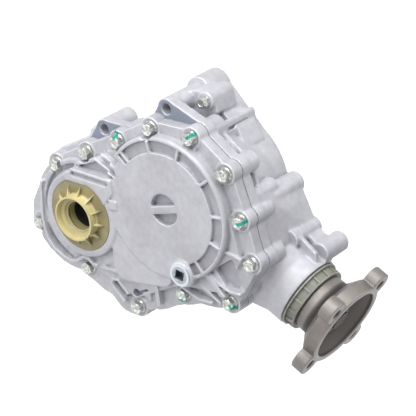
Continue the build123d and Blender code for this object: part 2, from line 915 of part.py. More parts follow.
def cover_forms():
    # Everything that is cast on top of the cover's rim plate.
    with BuildPart() as forms:
        # Apron that follows the outline inside the screws.
        with BuildSketch(at(rim_top - 1.0)):
            add(rim_outline)
            offset(amount=-apron_margin)
        extrude(amount=apron_rise + 1.0, taper=apron_draft)
        add(rounded_disc(transfer, bulge_radius, rim_top - 1.0, bulge_top, bulge_edge))
        add(rounded_disc((0.0, 0.0), input_boss_radius, rim_top - 1.0, rim_top + input_boss_rise, 2.0))
        # Tongue from the bulge down towards the bottom of the case.
        with BuildSketch(at(rim_top - 1.0)):
            for place, radius in tongue_corners:
                with Locations(from_transfer(*place)):
                    Circle(radius)
            make_hull()
        extrude(amount=bulge_rise + 1.0 - tongue_fall, taper=apron_draft / 2)
        # Ridge round the axle recess and the plateau beside it.
        add(rounded_disc((0.0, 0.0), ridge_outer, rim_top, rim_top + ridge_rise, 3.0))
        corners = [from_transfer(*point) for point in plateau_corners]
        add(hull_body(corners, plateau_radius, rim_top - 1.0, plateau_top))
        for start, end, width, rise in cover_ribs:
            add(rib(from_transfer(*start), from_transfer(*end), width, rim_top - 1.0, rim_top + rise))
        add(disc(fill_point, fill_boss_radius, rim_top - 1.0, fill_seat))
        add(screw_holes(screw_points, screw_boss_radius, rim_top - 1.0, rim_top + boss_lift))
    return forms.part


def cover_hollows():
    # What is cut from the outside of the cover.
    first, last = groove_span
    groove = ring_sector(
        transfer, groove_inner, groove_outer, first, last, bulge_top - groove_depth, bulge_top + 1.0
    )
    first, last = lip_channel_span
    inner, outer = lip_channel
    channel = ring_sector((0.0, 0.0), inner, outer, first, last, rim_top + 1.0, bulge_top + 4.0)
    with BuildPart() as window:
        with BuildSketch(at(bulge_top)):
            with Locations(transfer):
                Circle(window_radius)
            with Locations(Location((transfer_x, transfer_z, 0), (0, 0, window_turn))):
                Rectangle(2 * window_radius + 2.0, window_bar, mode=Mode.SUBTRACT)
        extrude(amount=-window_depth)
    ends = [from_transfer(*end) for end in slot_ends]
    slot = hull_body(ends, slot_radius, slot_floor, plateau_top + 1.0)
    hollows = [groove, channel, window.part, slot]
    for corners, radius, drop in cover_pockets:
        points = [from_transfer(*corner) for corner in corners]
        hollows.append(hull_body(points, radius, rim_top - drop, bulge_top + 4.0))
    return hollows


def axle_opening():
    # Seats of the bearing and the seal, under the recess with its flat.
    with BuildPart() as opening:
        add(
            turned(
                (0.0, 0.0),
                [
                    (0.0, parting - 1.0),
                    (input_bearing_radius, parting - 1.0),
                    (input_bearing_radius, input_front_top),
                    (axle_seal_radius - 3.0, input_front_top),
                    (axle_seal_radius - 3.0, input_front_top + seal_shoulder),
                    (axle_seal_radius, input_front_top + seal_shoulder),
                    (axle_seal_radius, recess_floor + 1.0),
                    (0.0, recess_floor + 1.0),
                ],
            )
        )
        add(flatted_disc(dish_radius + loose_gap, dish_flat + loose_gap, recess_floor, plateau_top + 1.0))
    return opening.part


def front_cover():
    with BuildPart() as cover:
        with BuildSketch(at(parting)):
            add(rim_outline)
        extrude(amount=rim_thickness)
        add(cover_forms())
        add(cover_hollows(), mode=Mode.SUBTRACT)
        for angle in groove_webs:
            start = driven_point(angle, groove_inner - 1.0)
            end = driven_point(angle, groove_outer + 1.0)
            add(rib(start, end, groove_web_width, bulge_top - groove_depth - 1.0, bulge_top))
        add(axle_opening(), mode=Mode.SUBTRACT)
        # Room for the gears and the seat of the front bearing.
        add(lifted(gear_cavity, parting - 1.0, cover_ceiling), mode=Mode.SUBTRACT)
        seat = disc(transfer, front_bearing_radius, cover_ceiling - 1.0, front_seat_top)
        add(seat, mode=Mode.SUBTRACT)
        relief_radius = front_bearing_radius - 5.0
        relief = disc(transfer, relief_radius, front_seat_top - 1.0, front_seat_top + race_relief)
        add(relief, mode=Mode.SUBTRACT)
        add(disc(fill_point, fill_thread_radius, cover_ceiling - 1.0, fill_seat), mode=Mode.SUBTRACT)
        pins = screw_holes(dowel_points, dowel_radius + seat_gap, parting - 1.0, parting + dowel_room)
        add(pins, mode=Mode.SUBTRACT)
        # Screw holes and their spot faces.
        screw_room = screw_holes(screw_points, screw_radius + loose_gap, parting - 1.0, rim_top + 1.0)
        add(screw_room, mode=Mode.SUBTRACT)
        spot_faces = screw_holes(screw_points, spot_face_radius, rim_top, plateau_top + 1.0)
        add(spot_faces, mode=Mode.SUBTRACT)
    return cover.part


def sealant_bead():
    with BuildPart() as bead:
        with BuildSketch(at(case_depth)):
            add(rim_outline)
            add(gear_cavity, mode=Mode.SUBTRACT)
            with Locations(*screw_points):
                Circle(screw_radius + loose_gap, mode=Mode.SUBTRACT)
            with Locations(*dowel_points):
                Circle(dowel_radius + seat_gap, mode=Mode.SUBTRACT)
        extrude(amount=seal_bead)
    return bead.part


def cover_screws():
    with BuildPart() as screws:
        with Locations(*[Location((x, -rim_top, z), (90, 0, 0)) for x, z in screw_points]):
            Cylinder(
                screw_flange,
                screw_flange_rise,
                align=(Align.CENTER, Align.CENTER, Align.MIN),
            )
        with BuildSketch(at(rim_top + screw_flange_rise)):
            with Locations(*screw_points):
                RegularPolygon(screw_head / 2, 6, major_radius=False)
        extrude(amount=screw_head_rise)
        with BuildSketch(at(case_depth)):
            with Locations(*screw_points):
                Circle(screw_radius)
        extrude(amount=rim_top - case_depth)
        with BuildSketch(at(case_depth)):
            with Locations(*screw_points):
                Circle(tap_radius - thread_gap)
        extrude(amount=-(screw_grip - 2.0))
    return screws.part


def spline_points(count, root, tip):
    # Trapezoid splines round a shaft.
    points = []
    pitch = 2 * pi / count
    for i in range(count):
        middle = pitch * i
        for radius, share in ((root, -0.32), (tip, -0.16), (tip, 0.16), (root, 0.32)):
            points.append((radius * cos(middle + pitch * share), radius * sin(middle + pitch * share)))
    return points


def input_shaft():
    with BuildPart() as shaft:
        add(
            turned(
                (0.0, 0.0),
                [
                    (input_bore_radius, spline_end),
                    (input_seal_journal, spline_end),
                    (input_seal_journal, input_rear_base),
                    (input_shaft_radius, input_rear_base),
                    (input_shaft_radius, input_rear_top),
                    (gear_seat_radius, input_rear_top),
                    (gear_seat_radius, input_shoulder_base),
                    (shoulder_radius, input_shoulder_base),
                    (shoulder_radius, gear_base),
                    (gear_seat_radius, gear_base),
                    (gear_seat_radius, gear_top),
                    (input_shaft_radius, gear_top),
                    (input_shaft_radius, input_shaft_front),
                    (input_bore_radius, input_shaft_front),
                ],
            )
        )
        with BuildSketch(at(shaft_rear_end)):
            with BuildLine():
                Polyline(*spline_points(28, spline_root, spline_tip), close=True)
            make_face()
            Circle(input_bore_radius, mode=Mode.SUBTRACT)
        extrude(amount=spline_end - shaft_rear_end)
    return shaft.part


def input_gear():
    with BuildPart() as gear:
        add(helical_rim((0.0, 0.0), input_teeth, radians(shaft_line_angle), 1))
        add(disc((0.0, 0.0), shoulder_radius, gear_top - 1.0, input_front_base), mode=Mode.ADD)
        bore = disc((0.0, 0.0), gear_seat_radius + seat_gap, gear_base - 1.0, input_front_base + 1.0)
        add(bore, mode=Mode.SUBTRACT)
    return gear.part


def driven_gear():
    middle = (gear_base + gear_top) / 2
    rim_inner = driven_pitch_radius - driven_rim
    with BuildPart() as gear:
        turn = radians(shaft_line_angle + 180.0) + pi / driven_teeth
        add(helical_rim(transfer, driven_teeth, turn, -1))
        for base, top in ((gear_base, middle - driven_web / 2), (middle + driven_web / 2, gear_top)):
            with BuildSketch(at(base)):
                with Locations(transfer):
                    Circle(rim_inner)
                    Circle(driven_hub_radius, mode=Mode.SUBTRACT)
            extrude(amount=top - base, mode=Mode.SUBTRACT)
        with BuildSketch(at(gear_base)):
            with Locations(transfer):
                Circle(driven_seat_radius + seat_gap)
                with PolarLocations((rim_inner + driven_hub_radius) / 2, lightening_holes):
                    Circle(lightening_radius)
        extrude(amount=gear_width, mode=Mode.SUBTRACT)
    return gear.part


def transfer_shaft():
    with BuildPart() as shaft:
        add(
            turned(
                transfer,
                [
                    (0.0, rear_seat_base + 0.6),
                    (transfer_rear_radius, rear_seat_base + 0.6),
                    (transfer_rear_radius, rear_seat_top),
                    (transfer_rear_radius + 4.0, rear_seat_top),
                    (transfer_rear_radius + 4.0, pilot_base),
                    (ring_bore - seat_gap, pilot_base),
                    (ring_bore - seat_gap, ring_web_top),
                    (shaft_flange_radius, ring_web_top),
                    (shaft_flange_radius, shaft_flange_top),
                    (transfer_shoulder, shaft_flange_top + 4.0),
                    (transfer_shoulder, gear_base),
                    (driven_seat_radius, gear_base),
                    (driven_seat_radius, gear_top),
                    (transfer_front_radius + 3.5, gear_top),
                    (transfer_front_radius + 3.5, front_seat_base),
                    (transfer_front_radius, front_seat_base),
                    (transfer_front_radius, front_seat_top - 0.6),
                    (0.0, front_seat_top - 0.6),
                ],
            )
        )
        with BuildSketch(at(ring_web_top)):
            with Locations(transfer):
                with PolarLocations(ring_screw_circle, ring_screws):
                    Circle(ring_screw_radius + thread_gap)
        extrude(amount=shaft_flange_top - ring_web_top, mode=Mode.SUBTRACT)
    return shaft.part


# Ring gear and pinion teeth. They are drawn on a pitch cone about the pinion axis, and the
# ring tooth is then tilted about that axis until the cone lies flat against the ring.
bevel_ratio = ring_teeth / pinion_teeth
pinion_middle = (pinion_toe + pinion_heel) / 2
hypoid_tilt = 0.0
for step in range(20):
    contact = hypoid_offset - pinion_middle / bevel_ratio * cos(hypoid_tilt) * sin(hypoid_tilt)
    hypoid_tilt = atan(contact / (bevel_ratio * pinion_middle))
pinion_cone = atan(cos(hypoid_tilt) / bevel_ratio)
ring_cone = pi / 2 - pinion_cone
cone_length = pinion_heel / cos(pinion_cone)
bevel_module = 2 * pinion_heel * tan(pinion_cone) / pinion_teeth
root_clearance = 0.3


def virtual_flank(teeth, cone, steps):
    # Points of a tooth flank on the back cone: height over the pitch cone and half thickness,
    # both as angles seen from the apex.
    pitch = bevel_module * teeth / 2 / cos(cone)
    base = pitch * cos(radians(pressure_angle))
    tip = pitch + bevel_module
    root = pitch - 1.25 * bevel_module
    inv_pitch = tan(radians(pressure_angle)) - radians(pressure_angle)
    half_pitch = pi / 4 * bevel_module / pitch - bevel_backlash / 2 / pitch
    start = max(base, root)
    flank = []
    for i in range(steps):
        radius = start + (tip - start) * i / (steps - 1)
        angle = acos(min(1.0, base / radius))
        flank.append((radius, half_pitch + inv_pitch - (tan(angle) - angle)))
    if root < base:
        flank.insert(0, (root, flank[0][1]))
    rise = [((radius - pitch) / cone_length, half * radius / cone_length) for radius, half in flank]
    return rise


def output_pinion():
    flank = virtual_flank(pinion_teeth, pinion_cone, 4)
    with BuildPart() as pinion:
        for along in (pinion_toe, pinion_heel):
            points = []
            for tooth in range(pinion_teeth):
                middle = 2 * pi * (tooth + 0.5) / pinion_teeth + hypoid_tilt
                for side, chain in ((-1, flank), (1, list(reversed(flank)))):
                    for rise, half in chain:
                        radius = along * tan(pinion_cone + rise)
                        turn = middle + side * half / sin(pinion_cone + rise)
                        y = pinion_line[0] + radius * cos(turn)
                        z = pinion_line[1] + radius * sin(turn)
                        points.append((y, z))
            with BuildSketch(across(along)):
                with BuildLine():
                    Polyline(*points, close=True)
                make_face()
        loft(ruled=True)
        add(
            turned_output(
                [
                    (pinion_toe + 1.0, 0.0),
                    (pinion_heel - 0.5, pinion_inner_radius),
                    (pinion_heel + 3.0, pinion_inner_radius),
                    (pinion_heel + 3.0, pinion_inner_radius + 3.0),
                    (inner_bearing_start, pinion_inner_radius + 3.0),
                    (inner_bearing_start, pinion_inner_radius),
                    (inner_bearing_end, pinion_inner_radius),
                    (inner_bearing_end, pinion_outer_radius),
                    (outer_bearing_end, pinion_outer_radius),
                    (outer_bearing_end, pinion_spline_radius),
                    (nut_seat, pinion_spline_radius),
                    (nut_seat, pinion_thread_radius),
                    (pinion_end, pinion_thread_radius),
                    (pinion_end, 0.0),
                ]
            )
        )
    return pinion.part


def ring_gear():
    flank = virtual_flank(pinion_teeth / tan(pinion_cone), ring_cone, 3)
    reach = (pinion_toe - 0.5, pinion_heel + 0.2)
    with BuildPart() as tooth:
        for along in reach:
            points = []
            for side, chain in ((-1, flank), (1, list(reversed(flank)))):
                for rise, half in chain:
                    turn = half / sin(ring_cone + rise)
                    depth = along * tan(pinion_cone - rise) / cos(turn)
                    points.append((-pinion_depth + depth, pinion_z + side * along * tan(turn)))
            low = -pinion_depth + along * tan(pinion_cone) + 2.2 * bevel_module
            points.insert(0, (low, points[0][1]))
            points.append((low, points[-1][1]))
            with BuildSketch(across(along)):
                with BuildLine():
                    Polyline(*points, close=True)
                make_face()
        loft(ruled=True)
    upright = tooth.part.rotate(pinion_axis, degrees(hypoid_tilt))
    rings = []
    for i in range(7):
        along = reach[0] + (reach[1] - reach[0]) * i / 6
        root = along * tan(pinion_cone) + 1.25 * bevel_module * along / pinion_heel + root_clearance
        sideways = hypoid_offset - root * sin(hypoid_tilt)
        rings.append((hypot(along, sideways), pinion_depth - root * cos(hypoid_tilt)))
    with BuildPart() as ring:
        add(
            turned(
                transfer,
                [
                    (ring_bore, ring_back),
                    (rings[-1][0] + 0.6, ring_back),
                    (rings[-1][0] + 0.6, rings[-1][1]),
                    *reversed(rings),
                    (rings[0][0] - 0.6, rings[0][1]),
                    (rings[0][0] - 0.6, ring_web_top),
                    (ring_bore, ring_web_top),
                ],
            )
        )
        add([upright.rotate(transfer_axis, 360.0 * i / ring_teeth) for i in range(ring_teeth)])
        with BuildSketch(at(ring_back)):
            with Locations(transfer):
                with PolarLocations(ring_screw_circle, ring_screws):
                    Circle(ring_screw_radius + loose_gap)
        extrude(amount=ring_web_top - ring_back, mode=Mode.SUBTRACT)
    return ring.part


def ring_gear_screws():
    with BuildPart() as screws:
        with BuildSketch(at(ring_back - ring_screw_head_rise)):
            with Locations(transfer):
                with PolarLocations(ring_screw_circle, ring_screws):
                    RegularPolygon(ring_screw_head, 6)
        extrude(amount=ring_screw_head_rise)
        with BuildSketch(at(ring_back)):
            with Locations(transfer):
                with PolarLocations(ring_screw_circle, ring_screws):
                    Circle(ring_screw_radius)
        extrude(amount=shaft_flange_top - ring_back - 0.5)
    return screws.part


def companion_flange():
    with BuildPart() as flange:
        add(
            turned_output(
                [
                    (outer_bearing_end + run_gap, pinion_spline_radius + seat_gap),
                    (outer_bearing_end + run_gap, hub_seal_radius),
                    (dust_start, hub_seal_radius),
                    (dust_start, dust_seat_radius),
                    (dust_end, dust_seat_radius),
                    (dust_end, flange_hub_radius),
                    (flange_face - flange_ear_thickness - 10.0, flange_hub_radius),
                    (flange_face - flange_ear_thickness - 2.0, flange_rim_radius - 3.0),
                    (flange_face - flange_ear_thickness, flange_rim_radius),
                    (flange_face, flange_rim_radius),
                    (flange_face, flange_cup_radius),
                    (flange_face - flange_pilot_depth, flange_cup_radius),
                    (nut_seat + 8.0, flange_cup_radius - 9.0),
                    (nut_seat, flange_cup_radius - 13.0),
                    (nut_seat, pinion_spline_radius + seat_gap),
                ]
            )
        )
        with BuildSketch(across(flange_face - flange_ear_thickness)):
            with Locations(pinion_line):
                Circle(flange_rim_radius)
                with PolarLocations(flange_pitch_circle / 2, 4, start_angle=45.0):
                    Circle(flange_ear_radius)
                Circle(flange_cup_radius, mode=Mode.SUBTRACT)
        extrude(amount=flange_ear_thickness - flange_ear_setback)
        with BuildSketch(across(flange_face - flange_ear_thickness)):
            with Locations(pinion_line):
                with PolarLocations(flange_pitch_circle / 2, 4, start_angle=45.0):
                    Circle(flange_hole_radius)
        extrude(amount=flange_ear_thickness, mode=Mode.SUBTRACT)
    return flange.part


def dust_ring():
    with BuildPart() as ring:
        add(
            turned_output(
                [
                    (dust_start, dust_seat_radius + seat_gap),
                    (dust_start, dust_lip_radius),
                    (dust_start + dust_lip_width, dust_lip_radius),
                    (dust_start + dust_lip_width, dust_radius - 2.4),
                    (dust_end - dust_rim_width, dust_radius - 3.6),
                    (dust_end - dust_rim_width, dust_radius - 1.6),
                    (dust_end, dust_radius - 2.0),
                    (dust_end, dust_seat_radius + seat_gap),
                ]
            )
        )
        with BuildSketch(across(dust_start + 2.0)):
            with Locations(pinion_line):
                with PolarLocations(dust_radius - 3.5, dust_windows):
                    Rectangle(dust_window_height, dust_window_width)
        extrude(amount=dust_ring_length - dust_lip_width - 1.2)
    return ring.part


def pinion_washer():
    inner = pinion_thread_radius + 0.3
    return turned_output(
        [
            (nut_seat, inner),
            (nut_seat, nut_radius + 2.0),
            (nut_seat + washer_thickness, nut_radius + 2.0),
            (nut_seat + washer_thickness, inner),
        ]
    )


def pinion_nut():
    with BuildPart() as nut:
        with BuildSketch(across(nut_seat + washer_thickness)):
            with Locations(pinion_line):
                RegularPolygon(nut_radius, 6)
                Circle(pinion_thread_radius + thread_gap, mode=Mode.SUBTRACT)
        extrude(amount=nut_thickness)
    return nut.part


def crush_spacer():
    inner = pinion_outer_radius + 1.5
    middle = (inner_bearing_end + outer_bearing_start) / 2
    return turned_output(
        [
            (inner_bearing_end, inner),
            (inner_bearing_end, inner + 2.0),
            (middle - 5.0, inner + 2.0),
            (middle, inner + 4.5),
            (middle + 5.0, inner + 2.0),
            (outer_bearing_start, inner + 2.0),
            (outer_bearing_start, inner),
            (middle + 5.0, inner),
            (middle, inner + 2.5),
            (middle - 5.0, inner),
        ]
    )


# Bearings: cone, cup and caged rollers about an axis
def bearing(name, plane, bore, outer, width, lean, count):
    roller = (outer - bore) * 0.2
    length = width * 0.62
    middle = (outer + bore) / 2
    side = (roller + run_gap) / cos(radians(lean))
    fall = width / 2 * tan(radians(lean))
    with BuildPart() as cone:
        with BuildSketch(Plane.XZ):
            with BuildLine():
                Polyline(
                    (bore + seat_gap, 0),
                    (middle - fall - side, 0),
                    (middle + fall - side, width),
                    (bore + seat_gap, width),
                    close=True,
                )
            make_face()
        revolve(axis=Axis.Z)
    with BuildPart() as cup:
        with BuildSketch(Plane.XZ):
            with BuildLine():
                Polyline(
                    (middle - fall + side, 0),
                    (outer - seat_gap, 0),
                    (outer - seat_gap, width),
                    (middle + fall + side, width),
                    close=True,
                )
            make_face()
        revolve(axis=Axis.Z)
    with BuildPart() as rollers:
        with Locations((0, 0, width / 2)):
            with PolarLocations(middle, count):
                Cylinder(roller, length, rotation=(0, lean, 0))
        with BuildSketch(Plane.XZ):
            with Locations(Location((middle, width / 2, 0), (0, 0, -lean))):
                Rectangle(1.2, length + 1.6)
        revolve(axis=Axis.Z)
    for part, kind in ((cone, "inner_race"), (cup, "outer_race"), (rollers, "rollers")):
        save(name + "_" + kind, plane.location * part.part)


def save(name, part):
    part.label = name
    export_step(part, "parts/" + name + ".step")


# Shaft seals: a steel case with a rubber lip
def seal_profile(inner, outer, near, far):
    # Near is the face towards the outside air, far the face towards the oil.
    wall = (far - near) * 0.28
    return [
        (inner + 1.6, near),
        (outer - seat_gap, near),
        (outer - seat_gap, far),
        (outer - 1.8, far),
        (outer - 1.8, near + wall),
        (inner + 3.4, near + wall),
        (inner + 2.6, far - wall * 0.6),
        (inner + run_gap, far - wall),
        (inner + 1.2, near + wall),
    ]


def spigot_ring():
    with BuildPart() as ring:
        with BuildSketch(Plane.XY):
            with Locations((spigot_radius - ring_groove + spigot_ring_section, -ring_groove_depth)):
                Circle(spigot_ring_section)
        revolve(axis=input_axis)
    return ring.part


def on_transfer(depth):
    return Plane(origin=(transfer_x, -depth, transfer_z), x_dir=(1, 0, 0), z_dir=(0, -1, 0))


def along_output(distance):
    return Plane(
        origin=(transfer_x + distance, -pinion_depth, pinion_z),
        x_dir=(0, 1, 0),
        z_dir=(1, 0, 0),
    )


def seal_protector():
    sleeve_base = input_front_top + 1.0
    cone_top = recess_floor + dish_edge + 2.0
    with BuildPart() as guard:
        add(
            turned(
                (0.0, 0.0),
                [
                    (protector_bore, sleeve_base),
                    (protector_sleeve, sleeve_base),
                    (protector_sleeve, recess_floor + 0.5),
                    (protector_ring + 1.0, recess_floor + 0.5),
                    (protector_ring + 1.0, recess_floor + dish_edge),
                    (protector_ring - 0.8, cone_top),
                    (protector_ring, protector_front),
                    (protector_ring - 1.8, protector_front),
                    (protector_ring - 3.2, protector_front - 5.5),
                    (protector_bore + 2.4, protector_front - 6.5),
                    (protector_bore + 1.0, protector_front - 9.0),
                    (protector_bore, protector_front - 9.5),
                ],
            )
        )
        add(flatted_disc(dish_radius, dish_flat, recess_floor, recess_floor + dish_edge))
        inside = disc((0.0, 0.0), protector_sleeve - 0.5, recess_floor, recess_floor + dish_edge)
        add(inside, mode=Mode.SUBTRACT)
        with BuildPart(mode=Mode.PRIVATE) as web:
            with BuildSketch(Plane.XY):
                with BuildLine():
                    Polyline(
                        (protector_ring - 1.2, -(recess_floor + 1.0)),
                        (protector_web_reach, -(recess_floor + 1.0)),
                        (protector_web_reach, -(recess_floor + dish_edge)),
                        (protector_ring - 1.2, -(protector_front - 3.0)),
                        close=True,
                    )
                make_face()
            extrude(amount=0.7, both=True)
        turns = [360.0 * (i + 0.3) / protector_ribs for i in range(protector_ribs)]
        add([web.part.rotate(input_axis, turn) for turn in turns])
    return guard.part


def fill_plug():
    head_base = fill_seat + plug_seat_rise
    thread_end = cover_ceiling + 1.5
    with BuildPart() as plug:
        with BuildSketch(at(head_base)):
            with Locations(fill_point):
                Circle(plug_head)
        extrude(amount=plug_head_rise)
        with BuildSketch(at(thread_end)):
            with Locations(fill_point):
                Circle(fill_thread_radius - thread_gap)
        extrude(amount=head_base - thread_end)
        with BuildSketch(at(head_base + plug_head_rise)):
            with Locations(Location((fill_point[0], fill_point[1], 0), (0, 0, plug_square_turn))):
                Rectangle(plug_square, plug_square)
        extrude(amount=-plug_square_depth, mode=Mode.SUBTRACT)
    return plug.part


def fill_washer():
    inner = fill_thread_radius + 0.3
    outer = plug_head + 1.2
    top = fill_seat + plug_seat_rise
    return turned(fill_point, [(inner, fill_seat), (outer, fill_seat), (outer, top), (inner, top)])


def dowel_pins():
    with BuildPart() as pins:
        with BuildSketch(at(case_depth - dowel_hole_depth)):
            with Locations(*dowel_points):
                Circle(dowel_radius)
        extrude(amount=dowel_hole_depth + seal_bead + dowel_rise)
    return pins.part


save("main_housing", main_housing())
save("front_cover", front_cover())
save("joint_sealant", sealant_bead())
save("cover_screws", cover_screws())
save("dowel_pins", dowel_pins())
save("input_shaft", input_shaft())
save("input_gear", input_gear())
save("driven_gear", driven_gear())
save("transfer_shaft", transfer_shaft())
save("ring_gear", ring_gear())
save("ring_gear_screws", ring_gear_screws())
save("output_pinion", output_pinion())
save("crush_spacer", crush_spacer())
save("companion_flange", companion_flange())
save("dust_ring", dust_ring())
save("pinion_washer", pinion_washer())
save("pinion_nut", pinion_nut())
for name, seat, sizes in (
    ("input_front", at(input_front_base), input_front_sizes),
    ("input_rear", at(input_rear_base), input_rear_sizes),
    ("transfer_front", on_transfer(front_seat_base), transfer_front_sizes),
    ("transfer_rear", on_transfer(rear_seat_base), transfer_rear_sizes),
    ("pinion_inner", along_output(inner_bearing_start), pinion_inner_sizes),
    ("pinion_outer", along_output(outer_bearing_start), pinion_outer_sizes),
):
    bearing(name, seat, *sizes)
axle_lip = protector_sleeve + lip_gap
axle_profile = seal_profile(axle_lip, axle_seal_radius, recess_floor, input_front_top + seal_shoulder)
save("axle_seal", turned((0.0, 0.0), axle_profile))
seal_inside = input_seal_width - spigot_length
input_profile = seal_profile(input_seal_journal, input_seal_radius, -spigot_length, seal_inside)
save("input_seal", turned((0.0, 0.0), input_profile))
output_profile = seal_profile(hub_seal_radius, output_seal_radius, output_seal_end, output_seal_start)
save("output_seal", turned_output([(along, radius) for radius, along in output_profile]))
save("spigot_ring", spigot_ring())
save("seal_protector", seal_protector())
save("fill_plug", fill_plug())
save("fill_washer", fill_washer())
save("breather_plug", hex_plug(breather_plane, breather_head, breather_rise, breather_thread))
save("drain_plug", hex_plug(drain_plane, drain_head, drain_rise, drain_thread))
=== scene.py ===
import math

import bmesh
import bpy
import numpy as np
from bpy.props import FloatProperty, FloatVectorProperty, IntProperty, PointerProperty
from bpy.types import Operator, Panel, PropertyGroup
from mathutils import Matrix, Vector


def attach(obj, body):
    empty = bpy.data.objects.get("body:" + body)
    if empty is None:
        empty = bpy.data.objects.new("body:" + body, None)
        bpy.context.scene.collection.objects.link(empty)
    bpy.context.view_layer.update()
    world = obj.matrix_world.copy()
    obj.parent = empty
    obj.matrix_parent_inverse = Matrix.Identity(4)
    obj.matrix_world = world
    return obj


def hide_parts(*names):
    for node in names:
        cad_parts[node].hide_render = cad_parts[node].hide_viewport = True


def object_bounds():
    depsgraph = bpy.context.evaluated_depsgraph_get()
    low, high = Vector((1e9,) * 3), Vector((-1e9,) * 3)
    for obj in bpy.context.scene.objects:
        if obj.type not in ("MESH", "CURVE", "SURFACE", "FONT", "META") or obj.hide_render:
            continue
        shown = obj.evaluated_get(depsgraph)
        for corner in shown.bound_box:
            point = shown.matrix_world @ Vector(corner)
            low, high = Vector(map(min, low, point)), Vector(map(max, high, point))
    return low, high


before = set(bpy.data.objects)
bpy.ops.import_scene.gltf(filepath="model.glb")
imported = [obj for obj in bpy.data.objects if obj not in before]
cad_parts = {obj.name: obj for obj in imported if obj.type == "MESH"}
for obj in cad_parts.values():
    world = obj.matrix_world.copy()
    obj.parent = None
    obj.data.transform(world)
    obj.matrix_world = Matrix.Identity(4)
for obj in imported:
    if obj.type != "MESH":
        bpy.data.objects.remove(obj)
CAD_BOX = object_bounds()

bl_info = {
    "name": "Transfer Case",
    "version": (1, 0, 0),
    "blender": (4, 5, 0),
    "location": "View3D > Sidebar > Transfer Case",
    "description": "Builds the looks of a cast transfer case around its packed frame",
    "category": "Object",
}

# Places on the part, in metres and radians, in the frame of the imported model
SHAFT_ANGLE = math.radians(44.0)
CENTRES = 0.1125
TRANSFER = (CENTRES * math.cos(SHAFT_ANGLE), CENTRES * math.sin(SHAFT_ANGLE))
PINION_Y = -0.035
PINION_Z = TRANSFER[1] - 0.024
FLANGE_X = TRANSFER[0] + 0.191
PARTING = 0.081
RIM_TOP = 0.0936
DISH_DEPTH = 0.1082
PLUG_FACE = 0.1111
PLUG_CENTRE = (TRANSFER[0] + 0.0455, TRANSFER[1] - 0.046)
MILLED_LEFT = TRANSFER[0] - 0.119
CUP_RADIUS = 0.0385
CUP_DEPTH = 0.03
RING_FLOOR = 0.0332
PROTECTOR_RING = 0.0245
PROTECTOR_THROAT = 0.0222
DRAIN_ANGLE = math.radians(-96.0)
DRAIN_REACH = 0.060
VENT_REACH = 0.008
COVER_SCREWS = 13

# Paint strokes on five screws: both ends from the transfer axis, in millimetres
PAINT_STROKES = (
    ((-86.0, 26.2), (-81.5, 23.8)),
    ((-10.5, 82.5), (-7.3, 89.0)),
    ((72.8, 41.8), (78.0, 48.2)),
    ((101.5, -43.2), (107.0, -44.3)),
    ((50.0, -82.0), (55.5, -79.0)),
)

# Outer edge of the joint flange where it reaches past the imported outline, and cast relief,
# as lines from the transfer axis, in millimetres
EDGE_LINES = (
    ((-139, -96), (-139, -106), (-139, -116), (-136, -125), (-132.5, -133)),
    ((-116, -144.5), (-106, -148), (-97, -149), (-85, -149), (-76, -147), (-66, -142.5), (-54, -142)),
    (
        (-54, -142),
        (-43, -141),
        (-31, -141),
        (-21, -138.5),
        (-10, -141.5),
        (-3, -143.5),
        (4, -141),
        (12, -137),
    ),
    (
        (30, -112),
        (37, -103.5),
        (44, -92.5),
        (51, -84.5),
        (59, -77.5),
        (67, -68),
        (76, -63),
        (84, -58),
        (92, -51),
    ),
)
RIDGE_LINES = (
    ((-138, -82), (-136.5, -89), (-130, -102), (-124, -115), (-120, -121.5), (-114.5, -128.5)),
    ((-114.5, -128.5), (-106.5, -136), (-96, -140.5), (-84.5, -140.5), (-74, -138), (-67.5, -133)),
    ((-67.5, -133), (-65.5, -128.5), (-62, -122), (-55.5, -119), (-49, -121), (-45, -118.5)),
)
BEAD_LINES = (
    ((-2, -121.5), (-18, -117), (-23.5, -120.5), (-23, -126), (-18, -129), (-3, -133)),
    ((53, -25), (67, -28), (83, -31), (95, -29.5), (105, -24)),
    ((47, -66), (56.5, -65), (69, -64), (83, -56)),
)
SLOT_LINE = ((-106, -42), (-68, -24))
POCKETS = (
    ((-89, -10.5), (-67, -4.5), (-63, -9)),
    ((-84, 1), (-74, 8.5), (-67, 8), (-68, 1)),
    ((-104, -33), (-90, -18.5), (-65, -13.5)),
    ((-17, -122), (-5, -126)),
    ((13, -111), (17, -106), (20, -111)),
)
PAD = ((-57, -37.5), (-50.5, -34), (-47, -40), (-53.5, -44.5))

# Sections of those forms: (depth, radius) at the back and at the front, in millimetres
CASE_EDGE = ((69.5, 5.0), (81.0, 6.0))
COVER_EDGE = ((81.6, 6.0), (93.6, 5.8))
RIDGE = ((92.0, 3.4), (103.6, 1.5))
BEAD = ((92.0, 3.2), (100.8, 1.3))
SLOT = ((97.0, 2.6), (105.0, 2.6))
POCKET_FLOOR = ((90.0, 3.0), (97.0, 2.0))
WINDOW_FLOOR = ((97.0, 17.0), (98.5, 17.0))
PAD_TAPER = ((99.0, 2.5), (107.2, 1.0))
CIRCLE_POINTS = 20

# Heads of the vent plug and the drain plug, in metres
VENT_SIZES = {"Head Height": 0.0062, "Flange Radius": 0.0062, "Flange Height": 0.0012, "Shank Length": 0.012}
DRAIN_SIZES = {
    "Head Height": 0.0034,
    "Flange Radius": 0.0086,
    "Flange Height": 0.0014,
    "Shank Radius": 0.0069,
    "Shank Length": 0.012,
}

